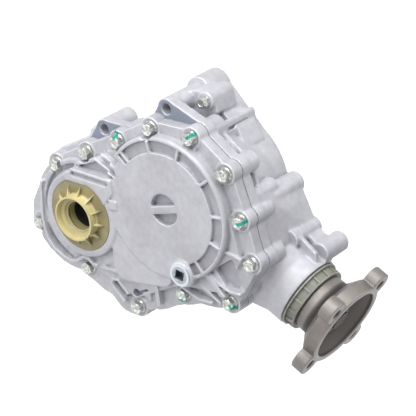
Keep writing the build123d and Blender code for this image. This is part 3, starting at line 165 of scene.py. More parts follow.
# Stage: the lamps' directions from the part, distances and widths, then the photograph's camera
FLOOR_REACH = 6.0
FLOOR_DROP = 0.12
LAMPS = {
    "key": ((-0.4, -0.3, 1.0), 1.6, 1.2),
    "fill": ((-0.5, -1.0, 0.6), 1.8, 1.0),
    "rim": ((0.5, 0.5, 1.0), 1.6, 0.9),
}
FOCAL_LENGTH = 181.73
SENSOR_WIDTH = 36.0
CAMERA_PLACE = (0.7456, -1.4753, 1.3599)
CAMERA_RIGHT = (0.71885, 0.61731, 0.31965)
CAMERA_UP = (-0.61738, 0.35557, 0.70172)
CAMERA_BACK = (0.31952, -0.70178, 0.63672)


def srgb(red, green, blue):
    """Linear colour of an 8-bit display colour."""
    return tuple(((c / 255 + 0.055) / 1.055) ** 2.4 if c > 10 else c / 3295 for c in (red, green, blue))


def shade(colour, share):
    """A colour made darker or lighter."""
    return tuple(min(1.0, c * share) for c in colour)


# Node maths
class Value:
    """A socket of a node tree that takes part in arithmetic."""

    def __init__(self, nodes, socket):
        self.nodes = nodes
        self.socket = socket

    def maths(self, operation, other=None, swap=False, clamp=False):
        node = self.nodes.tree.nodes.new("ShaderNodeMath")
        node.operation = operation
        node.use_clamp = clamp
        values = [self] if other is None else [self, other]
        if swap:
            values.reverse()
        for slot, value in enumerate(values):
            self.nodes.feed(node.inputs[slot], value)
        return Value(self.nodes, node.outputs[0])

    def __add__(self, other):
        return self.maths("ADD", other)

    def __radd__(self, other):
        return self.maths("ADD", other, swap=True)

    def __sub__(self, other):
        return self.maths("SUBTRACT", other)

    def __rsub__(self, other):
        return self.maths("SUBTRACT", other, swap=True)

    def __mul__(self, other):
        return self.maths("MULTIPLY", other)

    def __rmul__(self, other):
        return self.maths("MULTIPLY", other, swap=True)

    def __truediv__(self, other):
        return self.maths("DIVIDE", other)

    def __rtruediv__(self, other):
        return self.maths("DIVIDE", other, swap=True)

    def __neg__(self):
        return self * -1.0

    def root(self):
        return self.maths("SQRT")

    def sine(self):
        return self.maths("SINE")

    def clamp(self):
        return self.maths("ADD", 0.0, clamp=True)

    def least(self, other):
        return self.maths("MINIMUM", other)

    def most(self, other):
        return self.maths("MAXIMUM", other)

    def step(self, low, high):
        """0 at low, 1 at high, smooth between; low may be the larger."""
        return self.nodes.node(
            "ShaderNodeMapRange",
            "Result",
            {"interpolation_type": "SMOOTHSTEP"},
            Value=self,
            From_Min=low,
            From_Max=high,
        )


class Nodes:
    """A node tree that is built by calls."""

    def __init__(self, tree):
        self.tree = tree

    def feed(self, socket, value):
        if isinstance(value, Value):
            self.tree.links.new(value.socket, socket)
        elif isinstance(value, (tuple, list)) and len(value) < len(socket.default_value):
            socket.default_value = (*value, 1.0)
        else:
            socket.default_value = value

    def node(self, kind, output=0, settings=None, **inputs):
        """Adds a node; inputs are named after its sockets, with _ for a space, or _0, _1 by place."""
        node = self.tree.nodes.new(kind)
        for key, value in (settings or {}).items():
            setattr(node, key, value)
        for key, value in inputs.items():
            place = int(key[1:]) if key.startswith("_") else key.replace("_", " ")
            self.feed(node.inputs[place], value)
        return Value(self, node.outputs[output])


class Shader(Nodes):
    """A material's node tree."""

    def __init__(self, name, colour, roughness, metallic=0.0):
        self.material = bpy.data.materials.new(name)
        self.material.use_nodes = True
        super().__init__(self.material.node_tree)
        self.surface = self.tree.nodes["Principled BSDF"]
        self.put("Base Color", colour)
        self.put("Roughness", roughness)
        self.put("Metallic", metallic)
        self.material.diffuse_color = (*colour, 1.0)
        self.place = self.node("ShaderNodeTexCoord", "Object")
        self.x, self.y, self.z = (self.node("ShaderNodeSeparateXYZ", i, Vector=self.place) for i in range(3))

    def put(self, name, value):
        self.feed(self.surface.inputs[name], value)

    def noise(self, scale, detail=2.0):
        return self.node("ShaderNodeTexNoise", "Fac", Vector=self.place, Scale=scale, Detail=detail)

    def mix(self, factor, first, second):
        return self.node("ShaderNodeMix", 2, {"data_type": "RGBA"}, Factor=factor, _6=first, _7=second)

    def attribute(self, name):
        return self.node("ShaderNodeAttribute", "Fac", {"attribute_name": name})

    def radius(self, first, second, centre):
        """Distance from an axis that stands square to two coordinates."""
        a = first - centre[0]
        b = second - centre[1]
        return (a * a + b * b).root()

    def bump(self, height, distance, strength):
        normal = self.node("ShaderNodeBump", Height=height, Distance=distance, Strength=strength)
        self.put("Normal", normal)

    def strokes(self, width):
        """1 inside the paint strokes over the cover screws, 0 away from them."""
        x = (self.x - TRANSFER[0]) * 1000.0
        z = (self.z - TRANSFER[1]) * 1000.0
        rough = self.noise(420.0) * 1.8
        nearest = None
        for (x0, z0), (x1, z1) in PAINT_STROKES:
            dx, dz = x1 - x0, z1 - z0
            size = dx * dx + dz * dz
            along = (((x - x0) * dx + (z - z0) * dz) / size).clamp()
            off_x = x - x0 - along * dx
            off_z = z - z0 - along * dz
            distance = (off_x * off_x + off_z * off_z).root()
            nearest = distance if nearest is None else nearest.least(distance)
        front = (-self.y).step(RIM_TOP - 0.003, RIM_TOP - 0.002)
        return (nearest + rough).step(width + 1.1, width + 0.6) * front


def cast_aluminium(name, colour, paint):
    """Grainy cast metal, with painted shade in its hollows and creases and painted highlights on its edges.
    """
    shader = Shader(name, colour, 0.5, 0.3)
    grain = shader.noise(1300.0)
    flow = shader.noise(150.0, 3.0)
    cloud = shader.noise(24.0)
    crease = shader.attribute("crease")
    hollow = shader.attribute("hollow")
    tone = cloud * 0.45 + flow * 0.3 + grain * 0.25
    base = shader.mix(tone.step(0.36, 0.66), shade(colour, 0.86), shade(colour, 1.1))
    # Painted shade in the wide hollows and along the creases.
    base = shader.mix(hollow.step(0.03, 0.2) * 0.38, base, shade(colour, 0.48))
    base = shader.mix(crease.step(0.08, 0.5) * 0.75, base, shade(colour, 0.3))
    # Painted highlight along convex edges.
    base = shader.mix(crease.step(-0.12, -0.45) * 0.65, base, shade(colour, 1.38))
    # Milled faces of the parting plane keep a bluish, even tone.
    front = (-shader.y).step(PARTING - 0.0006, PARTING - 0.0001)
    milled = front * (-shader.y).step(PARTING + 0.0012, PARTING + 0.0007)
    milled = milled * shader.x.step(MILLED_LEFT, MILLED_LEFT + 0.004)
    base = shader.mix(milled * 0.88, base, srgb(127, 136, 153))
    base = shader.mix(shader.strokes(1.3), base, paint)
    shader.put("Base Color", base)
    shader.put("Roughness", 0.48 + grain * 0.16 + hollow.step(0.0, 0.2) * 0.1 - milled * 0.12)
    shader.bump(grain * 0.45 + flow * 0.8, 0.0005, 0.5)
    return shader.material


def plug_coat(name, colour, ring):
    """A screwed plug with a pale outer ring round a darker middle, with painted shade in the narrow channel
    between them and in its square socket.
    """
    shader = Shader(name, colour, 0.35, 0.4)
    cloud = shader.noise(380.0)
    radius = shader.radius(shader.x, shader.z, PLUG_CENTRE)
    middle = 0.0078
    base = shader.mix(cloud.step(0.35, 0.68), shade(colour, 0.72), shade(colour, 1.15))
    base = shader.mix(radius.step(middle, middle + 0.0006), base, ring)
    # Painted shade in the narrow channel between ring and middle.
    groove_shade = radius.step(middle, middle + 0.0005) * radius.step(middle + 0.0014, middle + 0.0008)
    base = shader.mix(groove_shade * 0.5, base, shade(colour, 0.4))
    # Painted shade in the square socket, below the plug's face.
    recess_shade = (-shader.y).step(PLUG_FACE - 0.0008, PLUG_FACE - 0.0016)
    recess_shade = recess_shade * radius.step(middle + 0.0002, middle - 0.0008)
    shader.put("Base Color", shader.mix(recess_shade * 0.8, base, srgb(70, 78, 86)))
    shader.put("Roughness", 0.3 + cloud * 0.2)
    return shader.material


def machined(name, colour, roughness, metallic=0.8):
    """Turned or ground metal."""
    shader = Shader(name, colour, roughness, metallic)
    fine = shader.noise(1400.0, 1.0)
    shader.put("Roughness", roughness - 0.04 + fine * 0.08)
    return shader.material


def zinc(name, colour, paint):
    """Blotchy plating with strokes of paint over it."""
    shader = Shader(name, colour, 0.3, 0.85)
    cloud = shader.noise(420.0)
    stain = shader.noise(110.0, 3.0)
    stroke = shader.strokes(1.7)
    base = shader.mix(cloud.step(0.35, 0.68), shade(colour, 0.6), shade(colour, 1.15))
    base = shader.mix(stain.step(0.56, 0.7) * 0.4, base, srgb(164, 166, 145))
    shader.put("Base Color", shader.mix(stroke, base, paint))
    shader.put("Metallic", 0.85 - stroke * 0.85)
    shader.put("Roughness", 0.22 + cloud * 0.22)
    shader.bump(cloud, 0.0002, 0.3)
    return shader.material


def forged(name, colour):
    """Scaled forged steel of the output flange, turned where it mates, with painted shade in creases and
    inside the cup and painted highlights on edges.
    """
    shader = Shader(name, colour, 0.45, 0.6)
    scale = shader.noise(900.0, 3.0)
    cloud = shader.noise(45.0)
    crease = shader.attribute("crease")
    radius = shader.radius(shader.y, shader.z, (PINION_Y, PINION_Z))
    tone = cloud * 0.6 + scale * 0.4
    base = shader.mix(tone.step(0.36, 0.66), shade(colour, 0.8), shade(colour, 1.12))
    # Painted shade in creases, then painted highlights on convex edges.
    base = shader.mix(crease.step(0.1, 0.5) * 0.6, base, shade(colour, 0.35))
    base = shader.mix(crease.step(-0.15, -0.5) * 0.4, base, shade(colour, 1.5))
    # Turned face and pilot, then painted shade inside the cup that deepens towards its floor, with its
    # turning marks.
    face = shader.x.step(FLANGE_X - 0.0016, FLANGE_X - 0.0009)
    face = face * radius.step(CUP_RADIUS - 0.0002, CUP_RADIUS + 0.0001)
    floor = FLANGE_X - CUP_DEPTH
    inside = radius.step(CUP_RADIUS + 0.0003, CUP_RADIUS - 0.0001) * shader.x.step(floor, floor + 0.004)
    marks = (radius * 9000.0 + shader.x * 5000.0).sine()
    base = shader.mix(face * 0.6, base, shade(colour, 1.35))
    depth = shader.x.step(FLANGE_X - 0.008, FLANGE_X - 0.022)
    base = shader.mix(inside * 0.92, base, shader.mix(depth, srgb(96, 92, 90), srgb(44, 42, 41)))
    base = shader.mix(inside * marks.step(0.3, 1.0) * 0.35, base, srgb(150, 146, 142))
    shader.put("Base Color", base)
    shader.put("Roughness", 0.4 + scale * 0.2 - face * 0.12 + inside * 0.1)
    shader.bump(scale * 0.5, 0.0003, 0.4)
    return shader.material


def ring_plastic(name, colour, back):
    """Mottled plastic of the ring behind the flange, with painted shade on its low floor and where its lip
    meets the snout; back is where its lip meets the snout.
    """
    shader = Shader(name, colour, 0.45)
    cloud = shader.noise(160.0, 3.0)
    base = shader.mix(cloud.step(0.35, 0.68), shade(colour, 0.78), shade(colour, 1.08))
    # Painted shade on the low floor between the lip and the end rim.
    radius = shader.radius(shader.y, shader.z, (PINION_Y, PINION_Z))
    low = radius.step(RING_FLOOR + 0.0013, RING_FLOOR)
    base = shader.mix(low * 0.35, base, shade(colour, 0.5))
    # Painted shade where the lip meets the snout.
    lip_shade = shader.x.step(back + 0.0010, back + 0.0007)
    shader.put("Base Color", shader.mix(lip_shade * 0.9, base, srgb(38, 40, 34)))
    return shader.material


def cover_plastic(name, colour, dish):
    """Cream plastic of the seal protector: ring, fins and a thin disc."""
    shader = Shader(name, colour, 0.36)
    cloud = shader.noise(60.0)
    base = shader.mix(cloud.step(0.3, 0.7), shade(colour, 0.9), shade(colour, 1.04))
    # The thin disc lets the dark bore behind it show, and its colour also holds painted shade of the recess
    # it sits in; the fins fade from the ring outwards towards that colour.
    radius = shader.radius(shader.x, shader.z, (0.0, 0.0))
    disc = (-shader.y).step(DISH_DEPTH + 0.0012, DISH_DEPTH + 0.0001)
    disc = disc * radius.step(PROTECTOR_RING - 0.002, PROTECTOR_RING)
    fin = radius.step(PROTECTOR_RING, PROTECTOR_RING + 0.006) * (1.0 - disc)
    base = shader.mix(fin * 0.5, base, dish)
    base = shader.mix(disc, base, shader.mix(cloud.step(0.3, 0.7), shade(dish, 0.86), shade(dish, 1.1)))
    # Painted shade down the inner wall of the ring.
    throat_shade = radius.step(PROTECTOR_THROAT, PROTECTOR_THROAT - 0.0017)
    throat_shade = throat_shade * (-shader.y).step(DISH_DEPTH + 0.0078, DISH_DEPTH - 0.0002)
    base = shader.mix(throat_shade * 0.55, base, shade(colour, 0.5))
    shader.put("Base Color", base)
    shader.put("Subsurface Weight", 0.08)
    shader.surface.inputs["Subsurface Radius"].default_value = (0.004, 0.003, 0.0015)
    shader.surface.inputs["Subsurface Scale"].default_value = 1.0
    return shader.material


def bead(name, colour):
    """Sealant or seal rubber."""
    shader = Shader(name, colour, 0.6)
    cloud = shader.noise(500.0)
    shader.put("Base Color", shader.mix(cloud.step(0.3, 0.7), shade(colour, 0.7), shade(colour, 1.2)))
    return shader.material


FINISH = {}


def make_finishes(colours):
    """Makes every material; those named after a CAD node are that node's own."""
    paint = tuple(colours.paint)
    ring_back = islands("dust_ring")[0][0][0]
    FINISH.update(
        {
            "main_housing": cast_aluminium("case_casting", tuple(colours.casting), paint),
            "front_cover": cast_aluminium("cover_casting", tuple(colours.cover), paint),
            "zinc": zinc("zinc", tuple(colours.zinc), paint),
            "fill_plug": plug_coat("plug_coat", srgb(178, 186, 196), srgb(222, 225, 230)),
            "fill_washer": machined("washer_coat", srgb(228, 231, 236), 0.42, 0.2),
            "companion_flange": forged("forged_steel", tuple(colours.flange)),
            "dust_ring": ring_plastic("olive_plastic", tuple(colours.dust_ring), ring_back),
            "seal_protector": cover_plastic("cream_plastic", tuple(colours.protector), tuple(colours.dish)),
            "pinion_nut": machined("nut_steel", srgb(62, 60, 58), 0.42, 0.3),
            "output_pinion": machined("pinion_steel", srgb(46, 44, 43), 0.55, 0.2),
            "pinion_washer": machined("washer_steel", srgb(50, 48, 47), 0.55, 0.2),
            "joint_sealant": bead("sealant", srgb(172, 174, 180)),
            "rubber": bead("seal_rubber", srgb(34, 34, 36)),
            "steel": machined("gear_steel", srgb(120, 120, 122), 0.35),
            "bearing": machined("bearing_steel", srgb(150, 150, 154), 0.25),
        }
    )


def finish_of(name):
    """The material of a CAD node."""
    if name in FINISH:
        return FINISH[name]
    if name in ("axle_seal", "input_seal", "output_seal", "spigot_ring"):
        return FINISH["rubber"]
    if name in ("cover_screws", "breather_plug", "drain_plug"):
        return FINISH["zinc"]
    if name.endswith(("_race", "_rollers")) or name in ("dowel_pins", "ring_gear_screws"):
        return FINISH["bearing"]
    return FINISH["steel"]


# Meshes
def plain_mesh(piece):
    """Turns an object with modifiers into one plain mesh."""
    graph = bpy.context.evaluated_depsgraph_get()
    mesh = bpy.data.meshes.new_from_object(piece.evaluated_get(graph))
    piece.modifiers.clear()
    piece.data = mesh
    return mesh


def finish_piece(piece, material, body, nodes):
    """Gives a piece its material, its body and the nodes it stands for."""
    piece.data.materials.clear()
    piece.data.materials.append(material)
    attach(piece, body)
    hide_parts(*nodes)


def spread(values, first, second, degree, rounds):
    """Averages per-vertex values with their neighbours."""
    count = len(values)
    for _ in range(rounds):
        near = np.bincount(first, values[second], count) + np.bincount(second, values[first], count)
        values = 0.5 * values + 0.5 * near / degree
    return values


def mark_creases(mesh, fine_rounds=2, wide_rounds=22):
    """Stores how far each vertex lies in a hollow: crease for edges, hollow for wide ones, per mm."""
    count = len(mesh.vertices)
    points = np.empty(count * 3)
    normals = np.empty(count * 3)
    edges = np.empty(len(mesh.edges) * 2, dtype=np.int64)
    mesh.vertices.foreach_get("co", points)
    mesh.vertices.foreach_get("normal", normals)
    mesh.edges.foreach_get("vertices", edges)
    points = points.reshape(-1, 3) * 1000.0
    normals = normals.reshape(-1, 3)
    first, second = edges.reshape(-1, 2).T
    way = points[second] - points[first]
    length = np.maximum((way * way).sum(axis=1), 1e-6)
    out = 2.0 * (way * normals[first]).sum(axis=1) / length
    back = -2.0 * (way * normals[second]).sum(axis=1) / length
    degree = np.maximum(np.bincount(first, minlength=count) + np.bincount(second, minlength=count), 1)
    bend = np.clip((np.bincount(first, out, count) + np.bincount(second, back, count)) / degree, -2.0, 2.0)
    fine = spread(bend, first, second, degree, fine_rounds)
    wide = spread(fine, first, second, degree, wide_rounds)
    for name, values in (("crease", fine), ("hollow", wide)):
        mesh.attributes.new(name, "FLOAT", "POINT").data.foreach_set("value", values.astype(np.float32))


def block(points, low, high):
    """A hull over points from the transfer axis; low and high are its (depth, radius) there."""
    return [(x, z, depth, radius) for x, z in points for depth, radius in (low, high)]


def strip(line, low, high):
    """Hulls that follow a line, one over each pair of neighbouring points."""
    return [block(pair, low, high) for pair in zip(line, line[1:])]


def add_solids(mesh, solids):
    """Joins closed solids to a mesh: hulls of circles given as (x, z, depth, radius) in millimetres."""
    work = bmesh.new()
    work.from_mesh(mesh)
    for circles in solids:
        corners = []
        for x, z, depth, radius in circles:
            for i in range(CIRCLE_POINTS):
                turn = math.tau * i / CIRCLE_POINTS
                across = TRANSFER[0] + (x + radius * math.cos(turn)) / 1000
                up = TRANSFER[1] + (z + radius * math.sin(turn)) / 1000
                corners.append(work.verts.new((across, -depth / 1000, up)))
        result = bmesh.ops.convex_hull(work, input=corners)
        inner = {item for key in ("geom_interior", "geom_unused") for item in result[key]}
        inner = [item for item in inner if isinstance(item, bmesh.types.BMVert)]
        bmesh.ops.delete(work, geom=inner, context="VERTS")
    work.to_mesh(mesh)
    work.free()


def case_relief():
    """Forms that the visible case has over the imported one."""
    side_front = block(((60, 52), (94, 12)), (66, 9), (68, 9))
    side_back = block(((66, 45), (102, 17)), (4, 8), (8, 8))
    left_of_vent = block(((-46, 80), (-34, 86)), (12, 6), (44, 6))
    right_of_vent = block(((-14, 80), (4, 77), (18, 68)), (14, 6), (42, 6))
    solids = [side_front + side_back, left_of_vent, right_of_vent]
    for line in EDGE_LINES:
        solids += strip(line, *CASE_EDGE)
    return solids


def cover_relief():
    """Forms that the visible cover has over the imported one."""
    solids = [block([(0, 0)], *WINDOW_FLOOR), block(PAD, *PAD_TAPER)]
    for lines, section in ((EDGE_LINES, COVER_EDGE), (RIDGE_LINES, RIDGE), (BEAD_LINES, BEAD)):
        for line in lines:
            solids += strip(line, *section)
    solids += strip(SLOT_LINE, *SLOT)
    solids += [block(points, *POCKET_FLOOR) for points in POCKETS]
    return solids


def rebuilt_skin(name, voxel, rounds, keep, solids=()):
    """A copy of a CAD node with softened, cast-like edges."""
    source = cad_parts[name]
    piece = bpy.data.objects.new("skin_" + name, source.data.copy())
    add_solids(piece.data, solids)
    bpy.context.scene.collection.objects.link(piece)
    weld = piece.modifiers.new("weld", "WELD")
    weld.merge_threshold = 1e-5
    skin = piece.modifiers.new("skin", "REMESH")
    skin.mode = "VOXEL"
    skin.voxel_size = voxel
    soft = piece.modifiers.new("soft", "SMOOTH")
    soft.factor = 0.5
    soft.iterations = rounds
    thin = piece.modifiers.new("thin", "DECIMATE")
    thin.ratio = keep
    mesh = plain_mesh(piece)
    mesh.shade_smooth()
    mark_creases(mesh)
    return piece


def islands(name):
    """Boxes of the separate bodies in a CAD node, as (low, high) corners in order of height."""
    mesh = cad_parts[name].data
    points = np.empty(len(mesh.vertices) * 3)
    mesh.vertices.foreach_get("co", points)
    points = points.reshape(-1, 3)
    keys = {}
    label = np.array([keys.setdefault(tuple(p), len(keys)) for p in np.round(points, 6)])
    parent = list(range(len(keys)))

    def top(i):
        while parent[i] != i:
            parent[i] = parent[parent[i]]
            i = parent[i]
        return i

    for face in mesh.polygons:
        corners = [label[i] for i in face.vertices]
        for corner in corners[1:]:
            parent[top(corner)] = top(corners[0])
    groups = {}
    for index, key in enumerate(label):
        groups.setdefault(top(key), []).append(index)
    boxes = [(points[rows].min(axis=0), points[rows].max(axis=0)) for rows in groups.values()]
    return sorted(boxes, key=lambda box: (box[0][2], box[0][0]))


# Screws, made by a node group
class GeometryTree(Nodes):
    """A Geometry Nodes group that turns points into finished pieces."""

    def __init__(self, name, sockets):
        super().__init__(bpy.data.node_groups.new(name, "GeometryNodeTree"))
        side = self.tree.interface
        side.new_socket("Geometry", in_out="INPUT", socket_type="NodeSocketGeometry")
        side.new_socket("Geometry", in_out="OUTPUT", socket_type="NodeSocketGeometry")
        self.identifiers = {}
        for label, kind, default in sockets:
            socket = side.new_socket(label, in_out="INPUT", socket_type=kind)
            if default is not None:
                socket.default_value = default
            self.identifiers[label] = socket.identifier
        self.entry = self.tree.nodes.new("NodeGroupInput")

    def given(self, label):
        return Value(self, self.entry.outputs[label])

    def raised(self, geometry, height):
        offset = self.node("ShaderNodeCombineXYZ", Z=height)
        return self.node("GeometryNodeTransform", Geometry=geometry, Translation=offset)

    def cone(self, sides, bottom, top, height, base):
        """A cone or cylinder that stands at the height base."""
        body = self.node(
            "GeometryNodeMeshCone", "Mesh", Vertices=sides, Radius_Bottom=bottom, Radius_Top=top, Depth=height
        )
        return self.raised(body, base)

    def join(self, *parts):
        node = self.tree.nodes.new("GeometryNodeJoinGeometry")
        for part in parts:
            self.tree.links.new(part.socket, node.inputs[0])
        return Value(self, node.outputs[0])

    def trim(self, operation, first, second):
        node = self.tree.nodes.new("GeometryNodeMeshBoolean")
        node.operation = operation
        node.solver = "EXACT"
        # An intersection takes both meshes in its one shared socket.
        place = "Mesh 1" if operation == "DIFFERENCE" else "Mesh 2"
        self.tree.links.new(first.socket, node.inputs[place])
        self.tree.links.new(second.socket, node.inputs["Mesh 2"])
        return Value(self, node.outputs["Mesh"])

    def finish(self, geometry):
        real = self.node("GeometryNodeRealizeInstances", Geometry=geometry)
        done = self.node("GeometryNodeSetMaterial", Geometry=real, Material=self.given("Material"))
        out = self.tree.nodes.new("NodeGroupOutput")
        self.tree.links.new(done.socket, out.inputs[0])


def screw_tree():
    """Hex screws with a round flange, a chamfered head and a shallow dish, on every point."""
    size = "NodeSocketFloat"
    tree = GeometryTree(
        "flange screws",
        (
            ("Across Flats", size, 0.012),
            ("Head Height", size, 0.0055),
            ("Flange Radius", size, 0.0078),
            ("Flange Height", size, 0.0018),
            ("Shank Radius", size, 0.004),
            ("Shank Length", size, 0.028),
            ("Tilt", "NodeSocketVector", (math.pi / 2, 0.0, 0.0)),
            ("Seed", "NodeSocketInt", 3),
            ("Material", "NodeSocketMaterial", None),
        ),
    )
    flats = tree.given("Across Flats")
    height = tree.given("Head Height")
    flange = tree.given("Flange Radius")
    thick = tree.given("Flange Height")
    bottom = thick * 0.45
    rise = height + thick * 0.55
    corner = flats * 0.5774
    hexagon = tree.cone(6, corner, corner, rise, bottom)
    chamfer = tree.cone(48, flats * 0.47 + rise * 1.6, flats * 0.47, rise, bottom)
    head = tree.trim("INTERSECT", hexagon, chamfer)
    dish = tree.cone(32, flats * 0.24, flats * 0.36, flats * 0.07, height + thick - flats * 0.05)
    head = tree.trim("DIFFERENCE", head, dish)
    plate = tree.cone(48, flange, flange, thick * 0.4, 0.0)
    skirt = tree.cone(48, flange * 0.985, flats * 0.545, thick * 0.62, thick * 0.39)
    thread = tree.given("Shank Radius")
    length = tree.given("Shank Length")
    shank = tree.cone(24, thread, thread, length, -length)
    screw = tree.join(head, plate, skirt, shank)
    spin = tree.node(
        "FunctionNodeRandomValue", 1, {"data_type": "FLOAT"}, _2=0.0, _3=math.pi / 3, Seed=tree.given("Seed")
    )
    about = tree.node("ShaderNodeCombineXYZ", Y=spin)
    turned = tree.node("ShaderNodeVectorMath", 0, {"operation": "ADD"}, _0=tree.given("Tilt"), _1=about)
    placed = tree.node(
        "GeometryNodeInstanceOnPoints", Points=tree.given("Geometry"), Instance=screw, Rotation=turned
    )
    tree.finish(placed)
    return tree


def on_points(tree, name, points, inputs):
    """A piece that a node group makes from points, as one plain mesh."""
    mesh = bpy.data.meshes.new(name)
    mesh.from_pydata(points, [], [])
    piece = bpy.data.objects.new(name, mesh)
    bpy.context.scene.collection.objects.link(piece)
    modifier = piece.modifiers.new("nodes", "NODES")
    modifier.node_group = tree.tree
    for label, value in inputs.items():
        modifier[tree.identifiers[label]] = value
    plain_mesh(piece)
    return piece


def plated_heads(tree, name, seats, sizes, node):
    """Zinc-plated heads on their seats, in place of a CAD node."""
    piece = on_points(tree, name, seats, {**sizes, "Material": FINISH["zinc"]})
    finish_piece(piece, FINISH["zinc"], "case", [node])


# Settings
class ColourSettings(PropertyGroup):
    casting: FloatVectorProperty(
        name="Case",
        description="Cast metal of the case",
        subtype="COLOR",
        default=srgb(199, 199, 205),
    )
    cover: FloatVectorProperty(
        name="Cover",
        description="Cast metal of the cover",
        subtype="COLOR",
        default=srgb(197, 197, 203),
    )
    zinc: FloatVectorProperty(
        name="Zinc",
        description="Plating of the screws",
        subtype="COLOR",
        default=srgb(206, 209, 204),
    )
    flange: FloatVectorProperty(
        name="Flange",
        description="Forged steel of the output flange",
        subtype="COLOR",
        default=srgb(137, 132, 128),
    )
    dust_ring: FloatVectorProperty(
        name="Dust Ring",
        description="Plastic ring behind the flange",
        subtype="COLOR",
        default=srgb(160, 160, 149),
    )
    protector: FloatVectorProperty(
        name="Protector",
        description="Ring and fins of the seal protector",
        subtype="COLOR",
        default=srgb(226, 214, 160),
    )
    # Partly the disc's own colour, partly painted shade of the recess it sits in.
    dish: FloatVectorProperty(
        name="Protector Disc",
        description="Thin disc of the seal protector",
        subtype="COLOR",
        default=srgb(160, 151, 112),
    )
    paint: FloatVectorProperty(
        name="Paint",
        description="Strokes across the tightened screws",
        subtype="COLOR",
        default=srgb(38, 168, 150),
    )


class CastingSettings(PropertyGroup):
    voxel: FloatProperty(
        name="Grid", description="Grid that the case is rebuilt on", default=0.0011, unit="LENGTH"
    )
    cover_voxel: FloatProperty(
        name="Cover Grid", description="Grid that the cover is rebuilt on", default=0.0009, unit="LENGTH"
    )
    rounds: IntProperty(name="Rounds", description="Smoothing passes that form the cast fillets", default=3)
    keep: FloatProperty(
        name="Keep", description="Share of the case's triangles kept", default=0.4, subtype="FACTOR"
    )
    cover_keep: FloatProperty(
        name="Cover Keep", description="Share of the cover's triangles kept", default=0.45, subtype="FACTOR"
    )
    forged_voxel: FloatProperty(
        name="Forged Grid", description="Grid of the flange skin", default=0.0008, unit="LENGTH"
    )
    forged_rounds: IntProperty(name="Forged Rounds", description="Smoothing passes of the flange", default=5)
    forged_keep: FloatProperty(
        name="Forged Keep", description="Share of the flange's triangles kept", default=0.5, subtype="FACTOR"
    )


class ScrewSettings(PropertyGroup):
    flats: FloatProperty(
        name="Across Flats", description="Width of the hex head", default=0.0115, unit="LENGTH"
    )
    height: FloatProperty(
        name="Head Height", description="Height of the hex head", default=0.0055, unit="LENGTH"
    )
    flange: FloatProperty(
        name="Flange Radius", description="Radius of the washer face", default=0.0073, unit="LENGTH"
    )
    flange_height: FloatProperty(
        name="Flange Height", description="Thickness of the washer face", default=0.0018, unit="LENGTH"
    )
    vent_flats: FloatProperty(
        name="Vent Across Flats", description="Width of the vent plug's head", default=0.0108, unit="LENGTH"
    )
    drain_flats: FloatProperty(
        name="Drain Across Flats", description="Width of the drain plug's head", default=0.0155, unit="LENGTH"
    )


class StageSettings(PropertyGroup):
    key: FloatProperty(name="Key", description="Power of the lamp above", default=22.0)
    fill: FloatProperty(name="Fill", description="Power of the lamp in front", default=11.5)
    rim: FloatProperty(name="Rim", description="Power of the lamp behind", default=4.5)
    sky: FloatProperty(name="Sky", description="Strength of the even light all round", default=0.28)


# Build steps
class TRANSFERCASE_OT_finishes(Operator):
    """Make the finishes and give every node of the frame its own"""

    bl_idname = "transfer_case.finishes"
    bl_label = "Finishes"

    def execute(self, context):
        make_finishes(context.scene.transfer_case.colours)
        for name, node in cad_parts.items():
            node.data.materials.clear()
            node.data.materials.append(finish_of(name))
        return {"FINISHED"}


class TRANSFERCASE_OT_castings(Operator):
    """Rebuild the case and the cover with cast fillets"""

    bl_idname = "transfer_case.castings"
    bl_label = "Castings"

    def execute(self, context):
        settings = context.scene.transfer_case.casting
        for name, slot, relief, voxel, keep in (
            ("main_housing", "cast_aluminium", case_relief(), settings.voxel, settings.keep),
            ("front_cover", "cover_casting", cover_relief(), settings.cover_voxel, settings.cover_keep),
        ):
            piece = rebuilt_skin(name, voxel, settings.rounds, keep, relief)
            finish_piece(piece, FINISH[name], "case", [name])
        return {"FINISHED"}


class TRANSFERCASE_OT_flange(Operator):
    """Rebuild the output flange with forged fillets"""

    bl_idname = "transfer_case.flange"
    bl_label = "Output Flange"

    def execute(self, context):
        settings = context.scene.transfer_case.casting
        rounds, keep = settings.forged_rounds, settings.forged_keep
        piece = rebuilt_skin("companion_flange", settings.forged_voxel, rounds, keep)
        finish_piece(piece, FINISH["companion_flange"], "output", ["companion_flange"])
        return {"FINISHED"}


class TRANSFERCASE_OT_screws(Operator):
    """Make the cover screws, the vent plug and the drain plug"""

    bl_idname = "transfer_case.screws"
    bl_label = "Screws"

    def execute(self, context):
        settings = context.scene.transfer_case.screws
        tree = screw_tree()
        seats = []
        for low, high in islands("cover_screws"):
            seats.append(((low[0] + high[0]) / 2, -RIM_TOP, (low[2] + high[2]) / 2))
        if len(seats) != COVER_SCREWS:
            raise RuntimeError(f"the cover has {COVER_SCREWS} screws")
        sizes = {
            "Across Flats": settings.flats,
            "Head Height": settings.height,
            "Flange Radius": settings.flange,
            "Flange Height": settings.flange_height,
        }
        plated_heads(tree, "cover_screw_set", seats, sizes, "cover_screws")
        low, high = islands("breather_plug")[0]
        seat = ((low[0] + high[0]) / 2, low[1] + VENT_REACH, (low[2] + high[2]) / 2)
        sizes = {"Across Flats": settings.vent_flats, **VENT_SIZES}
        plated_heads(tree, "vent_plug", [seat], sizes, "breather_plug")
        low, high = islands("drain_plug")[0]
        away = Vector((math.cos(DRAIN_ANGLE), 0.0, math.sin(DRAIN_ANGLE)))
        seat = away * DRAIN_REACH + Vector((0.0, (low[1] + high[1]) / 2, 0.0))
        tilt = (0.0, math.atan2(away.x, away.z), 0.0)
        sizes = {"Across Flats": settings.drain_flats, "Tilt": tilt, **DRAIN_SIZES}
        plated_heads(tree, "drain_plug_head", [seat], sizes, "drain_plug")
        return {"FINISHED"}


def backdrop_rays(nodes):
    """1 for the rays that may see a white background: straight, mirrored and through glass."""
    kinds = ("Is Camera Ray", "Is Glossy Ray", "Is Transmission Ray")
    camera, glossy, through = (nodes.node("ShaderNodeLightPath", kind) for kind in kinds)
    return camera.most(glossy).most(through)


